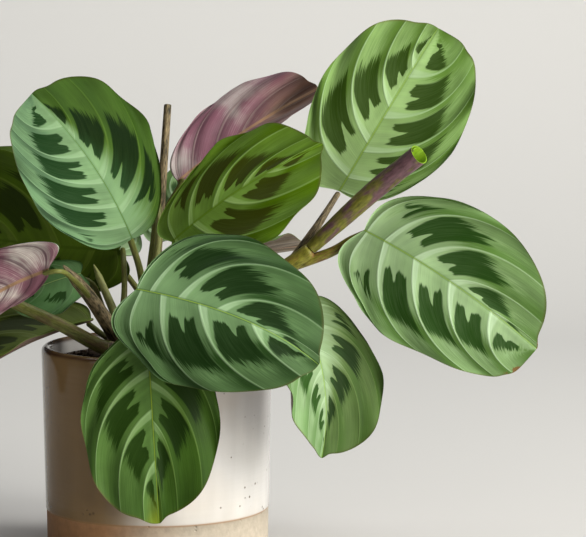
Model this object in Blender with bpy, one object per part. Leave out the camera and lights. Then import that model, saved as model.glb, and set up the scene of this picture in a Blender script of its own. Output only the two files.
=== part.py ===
# Potted prayer plant: broad waved leaves on jointed stems, rooted in soil in a round pot.
# Metres, +Z up. The origin is the middle of the pot's flat base, and -Y faces the viewer.
import math

import bmesh
import bpy
import numpy as np

# Pot
POT_HEIGHT = 0.120
RIM_RADIUS = 0.065
GLAZE_LINE_HEIGHT = 0.028
GLAZE_LINE_RADIUS = 0.0633
GLAZE_STEP = 0.0004
BASE_RADIUS = 0.0626
BASE_CHAMFER = 0.0012
WALL = 0.0055
FLOOR = 0.007
FLOOR_CORNER = 0.005
CORNER_BULGE = 0.3
LIP_ANGLES = (0, 36, 72, 108, 144, 180)
POT_SIDES = 48

# Soil
SOIL_EDGE = 0.1115
SOIL_MOUND = 0.0030
SOIL_CLODS = 0.0007
SMALL_CLOD = 0.016
BROAD_CLOD = 0.030
CLOD_FADE = 6
SOIL_RINGS = 4
SOIL_SIDES = 36

# Clearance between pieces that touch, and a little more where their facets differ
GAP = 0.0003
FACET_GAP = 1.4 * GAP
STALK_GAP = 1.5 * GAP

# Crowns: the thick feet of the shoots, and the plain holes that they stand in
CROWN_SIDES = 12
CROWN_DEPTH = 0.014
CROWN_RISE = 0.0095
CROWN_DOME = 0.75
HOLE_DEPTH = 0.016
ROOTING = 0.001

# Blades: thickness, the rib under the midrib, and the pleats between the side veins
BLADE = 0.0007
RIB = 0.0006
RIB_WIDTH = 0.0016
RIB_FADE = 0.7
PLEAT = 0.0007
WAVES = 3

# Blade outline: where the base lobes end, and the drawn-out tip
LOBE_SHARE = 0.30
CUSP = 0.035
CUSP_SHARE = 0.03

# Side veins: where the first one meets the margin, how they crowd to the base, and their arch
VEINS = 7
FIRST_VEIN = 0.30
VEIN_CROWDING = 1.3
VEIN_ARCH = (0.25, 0.65)
BASE_BLEND = 0.08

# Blade mesh: rows between two side veins, and columns as shares of the way to the margin
ROWS_PER_VEIN = 2
COLUMNS = (0.06, 0.30, 0.58, 0.82, 1.0)
MIDRIB_STEPS = 65

# Edges that turn more degrees than this are sharp
SHARP_ANGLE = 40

# Stalks: sides, length of a step, and the share, width and reach of a round or a pointed end
STALK_SIDES = 8
STALK_STEP = 0.009
STALK_UNDER = 0.002
ROUND_END = (0.7, 0.95, 1.0)
POINTED_END = (0.7, 0.5, 4.0)

CROWNS = {
    "shoot_left": dict(foot=(-0.0225, -0.0030), radius=0.0062),
    "shoot_low_left": dict(foot=(-0.0240, -0.0285), radius=0.0055),
    "shoot_centre": dict(foot=(-0.0040, 0.0120), radius=0.0060),
    "shoot_right": dict(foot=(0.0160, 0.0000), radius=0.0065),
    "shoot_front": dict(foot=(-0.0030, -0.0220), radius=0.0055),
    "shoot_back": dict(foot=(0.0050, 0.0340), radius=0.0055),
}

# Where the right shoot divides into its two upper leaf stalks and the new rolled leaf
FORK = (0.0745, -0.0190, 0.1660)

# Values that most leaves share. Pairs are for the left and the right half.
# taper: 1 puts the widest place halfway along, and less puts it nearer the tip.
# shoulder and point: the lower, the fuller a half is towards its base and towards its tip.
# lobe: how far a half reaches back past the base.
# arch and sway: how far the midrib bows up and to the right, most at the share bend.
# fold and curl: degrees that raise a half at the midrib, and from there to its margin.
# meets: whether the stalk ends under the blade or in the notch between its lobes.
PLAIN = dict(
    lobe=(0.120, 0.120), taper=(0.86, 0.86), shoulder=(0.90, 0.90), point=(0.85, 0.85),
    arch=0.006, sway=0.0, bend=0.5,
    fold=(4, 4), curl=(-10, -10), wave=0.0018, meets="underside",
)

# Each leaf: where its midrib starts and ends, the way its upper face looks, the width of its
# halves, the shoot that carries it, the points its stalk passes, and the stalk's two radii.
LEAVES = {
    "leaf_upper_left": dict(
        PLAIN,
        base=(-0.0117, -0.0340, 0.1832), tip=(-0.0636, -0.0580, 0.2638), face=(0.30, -0.94, 0.12),
        halves=(0.0393, 0.0448), lobe=(0.037, 0.049), taper=(0.96, 0.92), shoulder=(1.00, 1.14),
        point=(0.29, 0.76), arch=0.004, sway=0.0045, fold=(4, -6), curl=(-8, -26), phase=0.4,
        shoot="shoot_centre", stalk=((-0.0060, -0.0060, 0.1400), (-0.0078, -0.0240, 0.1640)),
        radii=(0.0026, 0.0017),
    ),
    "leaf_front": dict(
        PLAIN,
        base=(-0.0067, -0.0800, 0.1606), tip=(0.0905, -0.0920, 0.1215), face=(0.10, -0.90, 0.42),
        halves=(0.0458, 0.0457), lobe=(-0.011, 0.115), taper=(1.05, 1.46), shoulder=(0.97, 1.07),
        point=(1.01, 0.68), arch=0.009, sway=-0.0043, bend=0.62, fold=(3, -4), curl=(-16, -30),
        phase=2.0,
        shoot="shoot_front", stalk=((-0.0050, -0.0330, 0.1380), (-0.0080, -0.0560, 0.1530)),
        radii=(0.0024, 0.0017),
    ),
    "leaf_hanging_front": dict(
        PLAIN,
        base=(-0.0015, -0.0720, 0.1399), tip=(0.0051, -0.0840, 0.0342), face=(0.0, -0.98, 0.12),
        halves=(0.0365, 0.0389), lobe=(0.110, -0.031), taper=(0.96, 0.91), shoulder=(0.87, 0.80),
        point=(1.07, 0.62), arch=0.004, curl=(-20, -20), phase=1.0,
        shoot="shoot_front", stalk=((-0.0040, -0.0300, 0.1290), (-0.0040, -0.0520, 0.1350)),
        radii=(0.0022, 0.0016),
    ),
    "leaf_hanging_right": dict(
        PLAIN,
        base=(0.0804, -0.0370, 0.1468), tip=(0.0926, -0.0570, 0.0650), face=(0.70, -0.70, 0.15),
        halves=(0.0362, 0.0530), lobe=(0.091, 0.120), taper=(0.76, 0.98), shoulder=(1.03, 0.91),
        point=(1.13, 0.82), arch=0.004, sway=-0.0062, fold=(16, 18), curl=(8, 8), phase=3.0,
        shoot="shoot_right", stalk=((0.0330, -0.0130, 0.1360), (0.0610, -0.0280, 0.1520)),
        radii=(0.0022, 0.0016),
    ),
    "leaf_right": dict(
        PLAIN,
        base=(0.1162, -0.0300, 0.1875), tip=(0.2099, -0.0520, 0.1244), face=(-0.12, -0.97, 0.16),
        halves=(0.0425, 0.0452), lobe=(0.028, 0.089), taper=(0.95, 1.29), shoulder=(0.96, 1.07),
        point=(1.01, 0.28), sway=-0.0035, fold=(3, 4), curl=(-10, -22), phase=0.0,
        shoot="shoot_right", fork=FORK,
        stalk=((0.0974, -0.0225, 0.1742), (0.1095, -0.0235, 0.1815)), radii=(0.0034, 0.0021),
    ),
    "leaf_upper_right": dict(
        PLAIN,
        base=(0.1029, 0.0020, 0.2064), tip=(0.1590, 0.0220, 0.2975), face=(-0.02, -0.97, 0.22),
        halves=(0.0415, 0.0439), lobe=(0.096, 0.026), taper=(0.95, 0.87), shoulder=(0.78, 0.93),
        point=(0.60, 0.31), arch=0.004, phase=1.7, shoot="shoot_right", fork=FORK,
        stalk=((0.0890, -0.0130, 0.1860), (0.0980, -0.0040, 0.1990)),
        radii=(0.0030, 0.0018), meets="notch",
    ),
    "leaf_upper_middle": dict(
        PLAIN,
        base=(0.0097, -0.0220, 0.1801), tip=(0.0933, -0.0340, 0.2351), face=(-0.39, -0.77, 0.51),
        halves=(0.0414, 0.0427), lobe=(0.133, 0.110), taper=(0.88, 0.84), shoulder=(1.06, 1.03),
        point=(1.12, 0.90), sway=-0.0005, fold=(-4, 4), curl=(-14, 4), phase=2.4,
        shoot="shoot_centre", stalk=((0.0010, 0.0020, 0.1380), (0.0058, -0.0115, 0.1520)),
        radii=(0.0024, 0.0017),
    ),
    "leaf_furled_top": dict(
        PLAIN,
        base=(0.0112, 0.0140, 0.2113), tip=(0.0912, 0.0360, 0.2630), face=(-0.42, 0.72, 0.55),
        halves=(0.0250, 0.0260), lobe=(0.050, 0.050), point=(0.90, 0.65), arch=0.004,
        fold=(0, 0), curl=(60, 95), wave=0.0012, phase=0.9,
        shoot="shoot_centre", stalk=((-0.0010, 0.0100, 0.1600), (0.0030, 0.0110, 0.1900)),
        radii=(0.0022, 0.0015),
    ),
    "leaf_folded_left": dict(
        PLAIN,
        base=(-0.0552, -0.0610, 0.1692), tip=(-0.1238, -0.0720, 0.1255), face=(-0.25, 0.90, 0.40),
        halves=(0.0255, 0.0190), lobe=(0.220, -0.100), point=(0.90, 0.90), arch=0.010,
        fold=(0, 0), curl=(70, 50), wave=0.0012, phase=1.4, shoot="shoot_left",
        stalk=((-0.0342, -0.0310, 0.1487), (-0.0440, -0.0500, 0.1635), (-0.0490, -0.0650, 0.1685)),
        radii=(0.0022, 0.0012),
    ),
    "leaf_left": dict(
        PLAIN,
        base=(-0.0227, 0.0300, 0.1704), tip=(-0.1424, 0.0640, 0.1819), face=(-0.05, -0.99, 0.02),
        halves=(0.0380, 0.0560), shoulder=(1.00, 0.90), sway=-0.0025, phase=2.8,
        shoot="shoot_left", stalk=((-0.0190, 0.0080, 0.1450), (-0.0195, 0.0180, 0.1640)),
        radii=(0.0020, 0.0014), meets="notch",
    ),
    "leaf_low_left": dict(
        PLAIN,
        base=(-0.0374, 0.0040, 0.1340), tip=(-0.1345, -0.0100, 0.0800), face=(0.0, -0.10, 0.99),
        halves=(0.0350, 0.0350), lobe=(0.050, 0.050), point=(0.90, 0.90), arch=0.008,
        fold=(10, 20), curl=(10, 16), phase=0.2,
        shoot="shoot_left", stalk=((-0.0290, 0.0010, 0.1240),),
        radii=(0.0020, 0.0014),
    ),
    "leaf_small_left": dict(
        PLAIN,
        base=(-0.0428, 0.0010, 0.1600), tip=(-0.0836, -0.0080, 0.1445), face=(0.0, -0.75, 0.65),
        halves=(0.0215, 0.0130), arch=0.003, fold=(2, 30), curl=(-6, 10), wave=0.0010, phase=0.8,
        shoot="shoot_left", stalk=((-0.0300, -0.0010, 0.1400), (-0.0360, 0.0005, 0.1540)),
        radii=(0.0018, 0.0013),
    ),
    "leaf_far_left": dict(
        PLAIN,
        base=(-0.1310, -0.0310, 0.1640), tip=(-0.2010, -0.0600, 0.1200), face=(-0.40, -0.40, 0.80),
        halves=(0.0420, 0.0420), arch=0.008, fold=(6, 6), phase=1.9, shoot="shoot_low_left",
        stalk=((-0.0301, -0.0290, 0.1228), (-0.0519, -0.0310, 0.1350),
               (-0.0788, -0.0270, 0.1468), (-0.1070, -0.0280, 0.1580)),
        radii=(0.0042, 0.0020),
    ),
    "leaf_back_right": dict(
        PLAIN,
        base=(0.0160, 0.0480, 0.1530), tip=(0.0840, 0.0700, 0.1690), face=(0.0, 0.34, 0.94),
        halves=(0.0310, 0.0310), lobe=(0.110, 0.110), point=(0.90, 0.90), arch=0.004,
        curl=(-6, -6), phase=0.7,
        shoot="shoot_back", stalk=((0.0060, 0.0350, 0.1330),),
        radii=(0.0020, 0.0014),
    ),
    "leaf_back_upper": dict(
        PLAIN,
        base=(0.0100, 0.0600, 0.1750), tip=(0.0400, 0.1300, 0.2150), face=(-0.20, -0.30, 0.93),
        halves=(0.0400, 0.0400), point=(0.80, 0.80), curl=(-8, -8), phase=2.2,
        shoot="shoot_back", stalk=((0.0060, 0.0400, 0.1350), (0.0080, 0.0500, 0.1580)),
        radii=(0.0024, 0.0016),
    ),
    "leaf_back_left": dict(
        PLAIN,
        base=(-0.0300, 0.0550, 0.1650), tip=(-0.0850, 0.1250, 0.1850), face=(-0.20, 0.10, 0.97),
        halves=(0.0400, 0.0400), arch=0.008, phase=0.3,
        shoot="shoot_back", stalk=((-0.0060, 0.0400, 0.1360), (-0.0200, 0.0480, 0.1540)),
        radii=(0.0022, 0.0015),
    ),
    "leaf_back_hanging": dict(
        PLAIN,
        base=(0.0060, 0.0760, 0.1340), tip=(0.0120, 0.0980, 0.0420), face=(0.0, 0.97, 0.22),
        halves=(0.0390, 0.0390), point=(0.90, 0.90), arch=0.005, curl=(-14, -14), phase=1.2,
        shoot="shoot_back", stalk=((0.0060, 0.0430, 0.1300), (0.0060, 0.0600, 0.1370)),
        radii=(0.0022, 0.0015),
    ),
}

# Sheaths and stubs that carry no open leaf, and the right shoot's thick stem below its fork
SHEATHS = (
    dict(shoot="shoot_left", end=POINTED_END, radii=(0.0050, 0.0034),
         path=((-0.0222, -0.0140, 0.1264), (-0.0342, -0.0300, 0.1487), (-0.0420, -0.0375, 0.1600))),
    dict(shoot="shoot_left", end=POINTED_END, radii=(0.0028, 0.0020),
         path=((-0.0228, -0.0040, 0.1353), (-0.0323, -0.0020, 0.1583))),
    dict(shoot="shoot_centre", end=POINTED_END, radii=(0.0042, 0.0030),
         path=((-0.0037, 0.0090, 0.1500), (0.0003, 0.0090, 0.1872), (-0.0010, 0.0090, 0.2030))),
    dict(shoot="shoot_centre", end=ROUND_END, radii=(0.0030, 0.0024),
         path=((-0.0010, 0.0100, 0.1600), (0.0022, 0.0100, 0.1990), (0.0062, 0.0100, 0.2530))),
    dict(shoot="shoot_centre", end=POINTED_END, radii=(0.0022, 0.0013),
         path=((-0.0020, 0.0050, 0.1550), (0.0012, 0.0010, 0.1850), (-0.0002, 0.0000, 0.2080))),
    dict(shoot="shoot_right", end=ROUND_END, radii=(0.0052, 0.0046),
         path=((0.0380, -0.0120, 0.1430), (0.0669, -0.0180, 0.1612), (0.0838, -0.0212, 0.1732))),
)

# The new leaf that is still rolled: a spiral sheet that widens to an open slanting mouth
ROLLED = dict(
    path=((0.0873, -0.0221, 0.1766), (0.0990, -0.0250, 0.1880),
          (0.1235, -0.0300, 0.2105), (0.1442, -0.0340, 0.2262)),
    radii=(0.0030, 0.0050, 0.0060, 0.0056), turns=1.3, pitch=0.0013, step=0.002,
    slant=0.008, slant_angle=2.2, slant_start=6, rings=10, sides=14,
)

COLOURS = {
    "glaze": ((0.62, 0.57, 0.50), 0.25),
    "soil": ((0.045, 0.030, 0.020), 0.95),
    "leaf": ((0.115, 0.235, 0.080), 0.45),
    "stalk": ((0.22, 0.19, 0.09), 0.55),
}


def clear_scene():
    for obj in list(bpy.data.objects):
        bpy.data.objects.remove(obj, do_unlink=True)


def material(name):
    if name in bpy.data.materials:
        return bpy.data.materials[name]
    colour, roughness = COLOURS[name]
    made = bpy.data.materials.new(name)
    made.use_nodes = True
    shader = made.node_tree.nodes["Principled BSDF"]
    shader.inputs["Base Color"].default_value = (*colour, 1.0)
    shader.inputs["Roughness"].default_value = roughness
    shader.inputs["Metallic"].default_value = 0.0
    return made


def add_object(name, points, faces, finish):
    """Makes one closed mesh object with its faces pointing out."""
    mesh = bpy.data.meshes.new(name)
    mesh.from_pydata([tuple(map(float, p)) for p in points], [], [tuple(map(int, f)) for f in faces])
    work = bmesh.new()
    work.from_mesh(mesh)
    bmesh.ops.recalc_face_normals(work, faces=work.faces)
    work.to_mesh(mesh)
    work.free()
    mesh.shade_smooth()
    mesh.set_sharp_from_angle(angle=math.radians(SHARP_ANGLE))
    obj = bpy.data.objects.new(name, mesh)
    bpy.context.scene.collection.objects.link(obj)
    obj.data.materials.append(material(finish))
    return obj


def combine(obj, collection, operation):
    """Applies one Boolean with all of a collection to an object, and removes the collection."""
    boolean = obj.modifiers.new("combine", "BOOLEAN")
    boolean.operation = operation
    boolean.operand_type = "COLLECTION"
    boolean.collection = collection
    boolean.solver = "EXACT"
    bpy.context.view_layer.update()
    result = bpy.data.meshes.new_from_object(obj.evaluated_get(bpy.context.evaluated_depsgraph_get()))
    obj.modifiers.clear()
    obj.data = result
    for other in list(collection.objects):
        bpy.data.objects.remove(other, do_unlink=True)
    bpy.data.collections.remove(collection)


def new_collection(name):
    made = bpy.data.collections.new(name)
    bpy.context.scene.collection.children.link(made)
    return made


def move_to(obj, collection):
    bpy.context.scene.collection.objects.unlink(obj)
    collection.objects.link(obj)


def unit(vector):
    vector = np.asarray(vector, float)
    return vector / np.linalg.norm(vector, axis=-1, keepdims=True)


def circle(sides):
    return 2 * math.pi * np.arange(sides) / sides


def smooth_path(points, step):
    """Catmull-Rom curve through the points, about one point every step."""
    points = np.array(points, float)
    ends = np.vstack([2 * points[0] - points[1], points, 2 * points[-1] - points[-2]])
    out = []
    for a, b, c, d in zip(ends, ends[1:], ends[2:], ends[3:]):
        count = max(1, round(float(np.linalg.norm(c - b)) / step))
        for t in np.arange(count) / count:
            out.append(0.5 * (2 * b + (c - a) * t + (2 * a - 5 * b + 4 * c - d) * t**2
                              + (3 * b - a - 3 * c + d) * t**3))
    return np.vstack([out, points[-1]])


def carried_frames(path):
    """Tangents of a path and two directions across it, carried along without twisting."""
    tangents = unit(np.gradient(path, axis=0))
    start = np.array((0.0, 1.0, 0.0)) if abs(tangents[0][1]) < 0.9 else np.array((1.0, 0.0, 0.0))
    across = [unit(start - tangents[0] * (start @ tangents[0]))]
    for tangent in tangents[1:]:
        across.append(unit(across[-1] - tangent * (across[-1] @ tangent)))
    across = np.array(across)
    return tangents, across, np.cross(tangents, across)


def rings_to_solid(rings, first_end, last_end):
    """Faces that join equal rings into a skin, closed by one point at each end."""
    sides = len(rings[0])
    points = [p for ring in rings for p in ring] + [first_end, last_end]
    first, last = len(points) - 2, len(points) - 1
    faces = []
    for r in range(len(rings) - 1):
        for s in range(sides):
            a, b = r * sides + s, r * sides + (s + 1) % sides
            faces.append((a, b, b + sides, a + sides))
    top = (len(rings) - 1) * sides
    for s in range(sides):
        faces.append((first, (s + 1) % sides, s))
        faces.append((last, top + s, top + (s + 1) % sides))
    return points, faces


def stalk_mesh(path, radii, end):
    """A tapering stalk along a path, closed by a round or a pointed end."""
    path = smooth_path(path, STALK_STEP)
    tangents, across, up = carried_frames(path)
    radius = np.linspace(radii[0], radii[1], len(path))
    ring_share, ring_width, reach = end
    centres = np.vstack([path, path[-1] + tangents[-1] * ring_share * reach * radii[1]])
    across, up = np.vstack([across, across[-1]]), np.vstack([up, up[-1]])
    radius = np.append(radius, ring_width * radii[1])
    rings = []
    for p, a, u, r in zip(centres, across, up, radius):
        rings.append([p + r * (math.cos(t) * a + math.sin(t) * u) for t in circle(STALK_SIDES)])
    start = path[0] - tangents[0] * radii[0] / 2
    return rings_to_solid(rings, start, path[-1] + tangents[-1] * reach * radii[1])


def turned_mesh(profile, sides):
    """A solid turned from (radius, height) points that start and end on the axis."""
    rings = [[(r * math.cos(t), r * math.sin(t), z) for t in circle(sides)] for r, z in profile[1:-1]]
    return rings_to_solid(rings, (0, 0, profile[0][1]), (0, 0, profile[-1][1]))


def inner_radius(height):
    """The pot's inside radius at a height, under its rounded lip."""
    share = (height - FLOOR) / (POT_HEIGHT - FLOOR)
    return (BASE_RADIUS - WALL) + (RIM_RADIUS - BASE_RADIUS) * share


def inner_corner(clearance):
    """The rounded corner between wall and floor as (radius, height) points, the wall's end first."""
    bulge = CORNER_BULGE * FLOOR_CORNER
    return [
        (inner_radius(FLOOR + FLOOR_CORNER) - clearance, FLOOR + FLOOR_CORNER),
        (inner_radius(FLOOR) - bulge - clearance, FLOOR + bulge + clearance / 2),
        (inner_radius(FLOOR) - FLOOR_CORNER - clearance / 2, FLOOR + clearance),
    ]


def add_pot():
    profile = [(0, 0), (BASE_RADIUS - BASE_CHAMFER, 0), (BASE_RADIUS, BASE_CHAMFER)]
    profile += [(GLAZE_LINE_RADIUS - GLAZE_STEP, GLAZE_LINE_HEIGHT - GLAZE_STEP)]
    profile += [(GLAZE_LINE_RADIUS, GLAZE_LINE_HEIGHT)]
    lip = WALL / 2
    for angle in LIP_ANGLES:
        turn = math.radians(angle)
        profile.append((RIM_RADIUS - lip + lip * math.cos(turn), POT_HEIGHT - lip + lip * math.sin(turn)))
    profile += inner_corner(0.0) + [(0, FLOOR)]
    add_object("pot", *turned_mesh(profile, POT_SIDES), "glaze")


def soil_height(x, y):
    """The soil's top: a low mound towards the crowns, with small and broad clods."""
    reach = math.hypot(x, y) / inner_radius(SOIL_EDGE)
    small = math.sin(2 * math.pi * x / SMALL_CLOD + 1) * math.sin(2 * math.pi * y / SMALL_CLOD)
    broad = math.sin(2 * math.pi * (x - y) / BROAD_CLOD) / 2
    return SOIL_EDGE + SOIL_MOUND * (1 - reach**2) + SOIL_CLODS * (small + broad) * (1 - reach**CLOD_FADE)


def crown_prism(foot, radius, low, high, domed):
    """An upright prism round a shoot's foot, the same shape for the crown and for its hole."""
    dome = CROWN_DOME * radius if domed else 0.0
    levels = [(radius, low), (radius, high)]
    if domed:
        levels.append((CROWN_DOME * radius, high + CROWN_DOME * dome))
    rings = [[(foot[0] + r * math.cos(t), foot[1] + r * math.sin(t), z) for t in circle(CROWN_SIDES)]
             for r, z in levels]
    return rings_to_solid(rings, (*foot, low), (*foot, high + dome))


def add_soil():
    side = inner_corner(FACET_GAP)[::-1]
    rings = [[(r * math.cos(t), r * math.sin(t), z) for t in circle(SOIL_SIDES)] for r, z in side]
    for ring in range(SOIL_RINGS):
        r = (inner_radius(SOIL_EDGE) - FACET_GAP) * (1 - ring / SOIL_RINGS)
        rings.append([(r * math.cos(t), r * math.sin(t), soil_height(r * math.cos(t), r * math.sin(t)))
                      for t in circle(SOIL_SIDES)])
    points, faces = rings_to_solid(rings, (0, 0, side[0][1]), (0, 0, soil_height(0, 0)))
    soil = add_object("soil", points, faces, "soil")
    holes = new_collection("holes")
    for crown in CROWNS.values():
        low = soil_height(*crown["foot"]) - HOLE_DEPTH
        wide = crown["radius"] + GAP / math.cos(math.pi / CROWN_SIDES)
        prism = crown_prism(crown["foot"], wide, low, POT_HEIGHT, False)
        move_to(add_object("hole", *prism, "soil"), holes)
    combine(soil, holes, "DIFFERENCE")


def margin_point(q, leaf, which):
    """A point of a blade's outline, as shares of its length and half width, for q from base to tip."""
    along = ((1 - np.cos(np.pi * q)) / 2) ** leaf["taper"][which]
    along = along - leaf["lobe"][which] * np.sin(np.pi * np.minimum(q / LOBE_SHARE, 1)) ** 2
    along = (along + CUSP * np.exp(-(((1 - q) / CUSP_SHARE) ** 2))) / (1 + CUSP)
    shoulder, point = leaf["shoulder"][which], leaf["point"][which]
    power = shoulder + (point - shoulder) * np.clip(2 * q - 1, 0, 1)
    return along, np.abs(np.sin(np.pi * q)) ** power


def vein_point(k, v, leaf, which):
    """A point of a half blade: k runs from the base margin to the tip, v from midrib to margin."""
    u = k**VEIN_CROWDING
    end_x, end_y = margin_point(FIRST_VEIN + (1 - FIRST_VEIN) * u, leaf, which)
    mid_x, mid_y = u + VEIN_ARCH[0] * (end_x - u), VEIN_ARCH[1] * end_y
    x = (1 - v) ** 2 * u + 2 * (1 - v) * v * mid_x + v**2 * end_x
    y = 2 * (1 - v) * v * mid_y + v**2 * end_y
    base_x, base_y = margin_point(FIRST_VEIN * v, leaf, which)
    near_base = np.exp(-u / BASE_BLEND)
    return x + (base_x - x) * near_base, y + (base_y - y) * near_base


def midrib_frames(leaf, x):
    """Places and directions along a leaf's midrib at shares x of its length."""
    base, tip = np.array(leaf["base"]), np.array(leaf["tip"])
    chord = unit(tip - base)
    face = np.array(leaf["face"], float)
    up = unit(face - chord * (face @ chord))
    right = np.cross(chord, up)
    pull = base + (tip - base) * leaf["bend"] + 2 * (leaf["arch"] * up + leaf["sway"] * right)
    t = np.linspace(0, 1, MIDRIB_STEPS)[:, None]
    curve = (1 - t) ** 2 * base + 2 * (1 - t) * t * pull + t**2 * tip
    run = np.concatenate([[0], np.cumsum(np.linalg.norm(np.diff(curve, axis=0), axis=1))])
    length = run[-1]
    inside = np.clip(x, 0, 1)
    share = np.interp(inside * length, run, t[:, 0])[..., None]
    place = (1 - share) ** 2 * base + 2 * (1 - share) * share * pull + share**2 * tip
    tangent = unit((1 - share) * (pull - base) + share * (tip - pull))
    place = place + tangent * (x - inside)[..., None] * length
    normal = unit(face - tangent * np.sum(tangent * face, axis=-1, keepdims=True))
    return place, tangent, normal, np.cross(tangent, normal)


def leaf_surface(leaf, k, v, side):
    """Points of a blade's middle surface, their upward directions and rib depths, side -1 or 1."""
    which = 0 if side < 0 else 1
    x, y = vein_point(k, v, leaf, which)
    place, _, normal, across = midrib_frames(leaf, x)
    half = leaf["halves"][which]
    reach = y * half
    start = math.radians(leaf["fold"][which])
    bend = math.radians(leaf["curl"][which]) / half
    angle = start + bend * reach
    out = side * (np.sin(angle) - math.sin(start)) / bend
    rise = (math.cos(start) - np.cos(angle)) / bend
    upward = normal * np.cos(angle)[..., None] - across * side * np.sin(angle)[..., None]
    pleat = PLEAT * np.sin(np.pi * VEINS * k) ** 2 * np.sin(np.pi * v)
    wave = leaf["wave"] * np.sin(2 * np.pi * WAVES * k + leaf["phase"] + side)
    wave = wave * v**2 * np.sqrt(np.sin(np.pi * k))
    point = place + across * out[..., None] + normal * rise[..., None]
    rib = RIB * np.exp(-((reach / RIB_WIDTH) ** 2)) * (1 - RIB_FADE * np.clip(x, 0, 1))
    return point + upward * (pleat + wave)[..., None], upward, rib


def leaf_row(leaf, k):
    """One row of a blade from its left margin over the midrib to its right one."""
    shares = np.array(COLUMNS)
    rows = np.full(len(shares), k)
    left, right = leaf_surface(leaf, rows, shares, -1), leaf_surface(leaf, rows, shares, 1)
    start = np.zeros(1)
    middle, _, rib = leaf_surface(leaf, start + k, start, 1)
    up = midrib_frames(leaf, start + k**VEIN_CROWDING)[2]
    points = np.vstack([left[0][::-1], middle, right[0]])
    ups = np.vstack([left[1][::-1], up, right[1]])
    ribs = np.concatenate([left[2][::-1], rib, right[2]])[:, None]
    return points + ups * BLADE / 2, points - ups * (BLADE / 2 + ribs)


def leaf_mesh(leaf):
    """A closed blade: upper and lower faces split into the same triangles, joined at the margin."""
    rows = VEINS * ROWS_PER_VEIN
    columns = len(COLUMNS)
    wide = 2 * columns + 1
    levels = [leaf_row(leaf, k) for k in np.arange(rows) / rows]
    tip, _, up, _ = midrib_frames(leaf, np.ones(1))
    upper = np.vstack([level[0] for level in levels] + [tip + up * BLADE / 2])
    lower = np.vstack([level[1] for level in levels] + [tip - up * BLADE / 2])
    count = len(upper)
    triangles = []
    for r in range(rows - 1):
        for c in range(wide - 1):
            a, b = r * wide + c, r * wide + c + 1
            if c < columns:
                triangles += [(a, b, a + wide), (b, b + wide, a + wide)]
            else:
                triangles += [(a, b, b + wide), (a, b + wide, a + wide)]
    last = (rows - 1) * wide
    triangles += [(last + c, last + c + 1, count - 1) for c in range(wide - 1)]
    edge = list(range(wide)) + [r * wide + wide - 1 for r in range(1, rows)] + [count - 1]
    edge += [r * wide for r in range(rows - 1, 0, -1)]
    faces = triangles + [tuple(count + i for i in reversed(t)) for t in triangles]
    for a, b in zip(edge, edge[1:] + edge[:1]):
        faces += [(b, a, count + a), (b, count + a, count + b)]
    return np.vstack([upper, lower]), faces


def stalk_end(leaf):
    """Where a leaf's stalk ends: in the notch between its lobes, or under the start of its midrib."""
    place, tangent, normal, _ = midrib_frames(leaf, np.zeros(1))
    clear = leaf["radii"][1] + STALK_GAP
    if leaf["meets"] == "notch":
        return place[0] - tangent[0] * clear - normal[0] * RIB / 2
    return place[0] - normal[0] * (clear + BLADE / 2 + RIB) + tangent[0] * STALK_UNDER


def add_shoot(name):
    """One shoot: its crown in the soil, with its sheaths and leaf stalks fused to it."""
    crown = CROWNS[name]
    ground = soil_height(*crown["foot"])
    prism = crown_prism(crown["foot"], crown["radius"], ground - CROWN_DEPTH, ground + CROWN_RISE, True)
    shoot = add_object(name, *prism, "stalk")
    root = (*crown["foot"], ground + CROWN_RISE - ROOTING)
    stalks = []
    for leaf in LEAVES.values():
        if leaf["shoot"] == name:
            route = (leaf.get("fork", root), *leaf["stalk"], stalk_end(leaf))
            stalks.append(stalk_mesh(route, leaf["radii"], ROUND_END))
    for sheath in SHEATHS:
        if sheath["shoot"] == name:
            stalks.append(stalk_mesh((root, *sheath["path"]), sheath["radii"], sheath["end"]))
    branches = new_collection(name + "_branches")
    for points, faces in stalks:
        move_to(add_object(name + "_branch", points, faces, "stalk"), branches)
    combine(shoot, branches, "UNION")


def add_rolled_leaf():
    """The spiral sheet: each ring is a spiral, out along its outer side and back along its inner one."""
    path = smooth_path(ROLLED["path"], ROLLED["step"])
    path = path[np.linspace(0, len(path) - 1, ROLLED["rings"]).round().astype(int)]
    tangents, across, up = carried_frames(path)
    share = np.linspace(0, 1, len(path))
    radii = np.interp(share, np.linspace(0, 1, len(ROLLED["radii"])), ROLLED["radii"])
    steps = int(ROLLED["sides"] * ROLLED["turns"])
    wind = np.linspace(0, 2 * math.pi * ROLLED["turns"], steps + 1)
    points = []
    for s, p, t, a, u, r in zip(share, path, tangents, across, up, radii):
        slant = ROLLED["slant"] * s ** ROLLED["slant_start"]
        for thickness, order in ((0.0, wind), (BLADE, wind[::-1])):
            for angle in order:
                inward = r - thickness - ROLLED["pitch"] * angle / (2 * math.pi)
                lean = slant * math.cos(angle - ROLLED["slant_angle"])
                points.append(p + inward * (math.cos(angle) * a + math.sin(angle) * u) + t * lean)
    loop = 2 * (steps + 1)
    faces = []
    for ring in range(len(path) - 1):
        for s in range(loop):
            a, b = ring * loop + s, ring * loop + (s + 1) % loop
            faces += [(a, b, b + loop), (a, b + loop, a + loop)]
    for start, flip in ((0, True), ((len(path) - 1) * loop, False)):
        for s in range(steps):
            quad = (start + s, start + s + 1, start + loop - 2 - s, start + loop - 1 - s)
            faces.append(quad[::-1] if flip else quad)
    add_object("rolled_leaf", points, faces, "leaf")


def main():
    clear_scene()
    add_pot()
    add_soil()
    for name in CROWNS:
        add_shoot(name)
    for name, leaf in LEAVES.items():
        add_object(name, *leaf_mesh(leaf), "leaf")
    add_rolled_leaf()


main()
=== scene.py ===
import math

import bpy
import numpy as np
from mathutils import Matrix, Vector, noise


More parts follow.
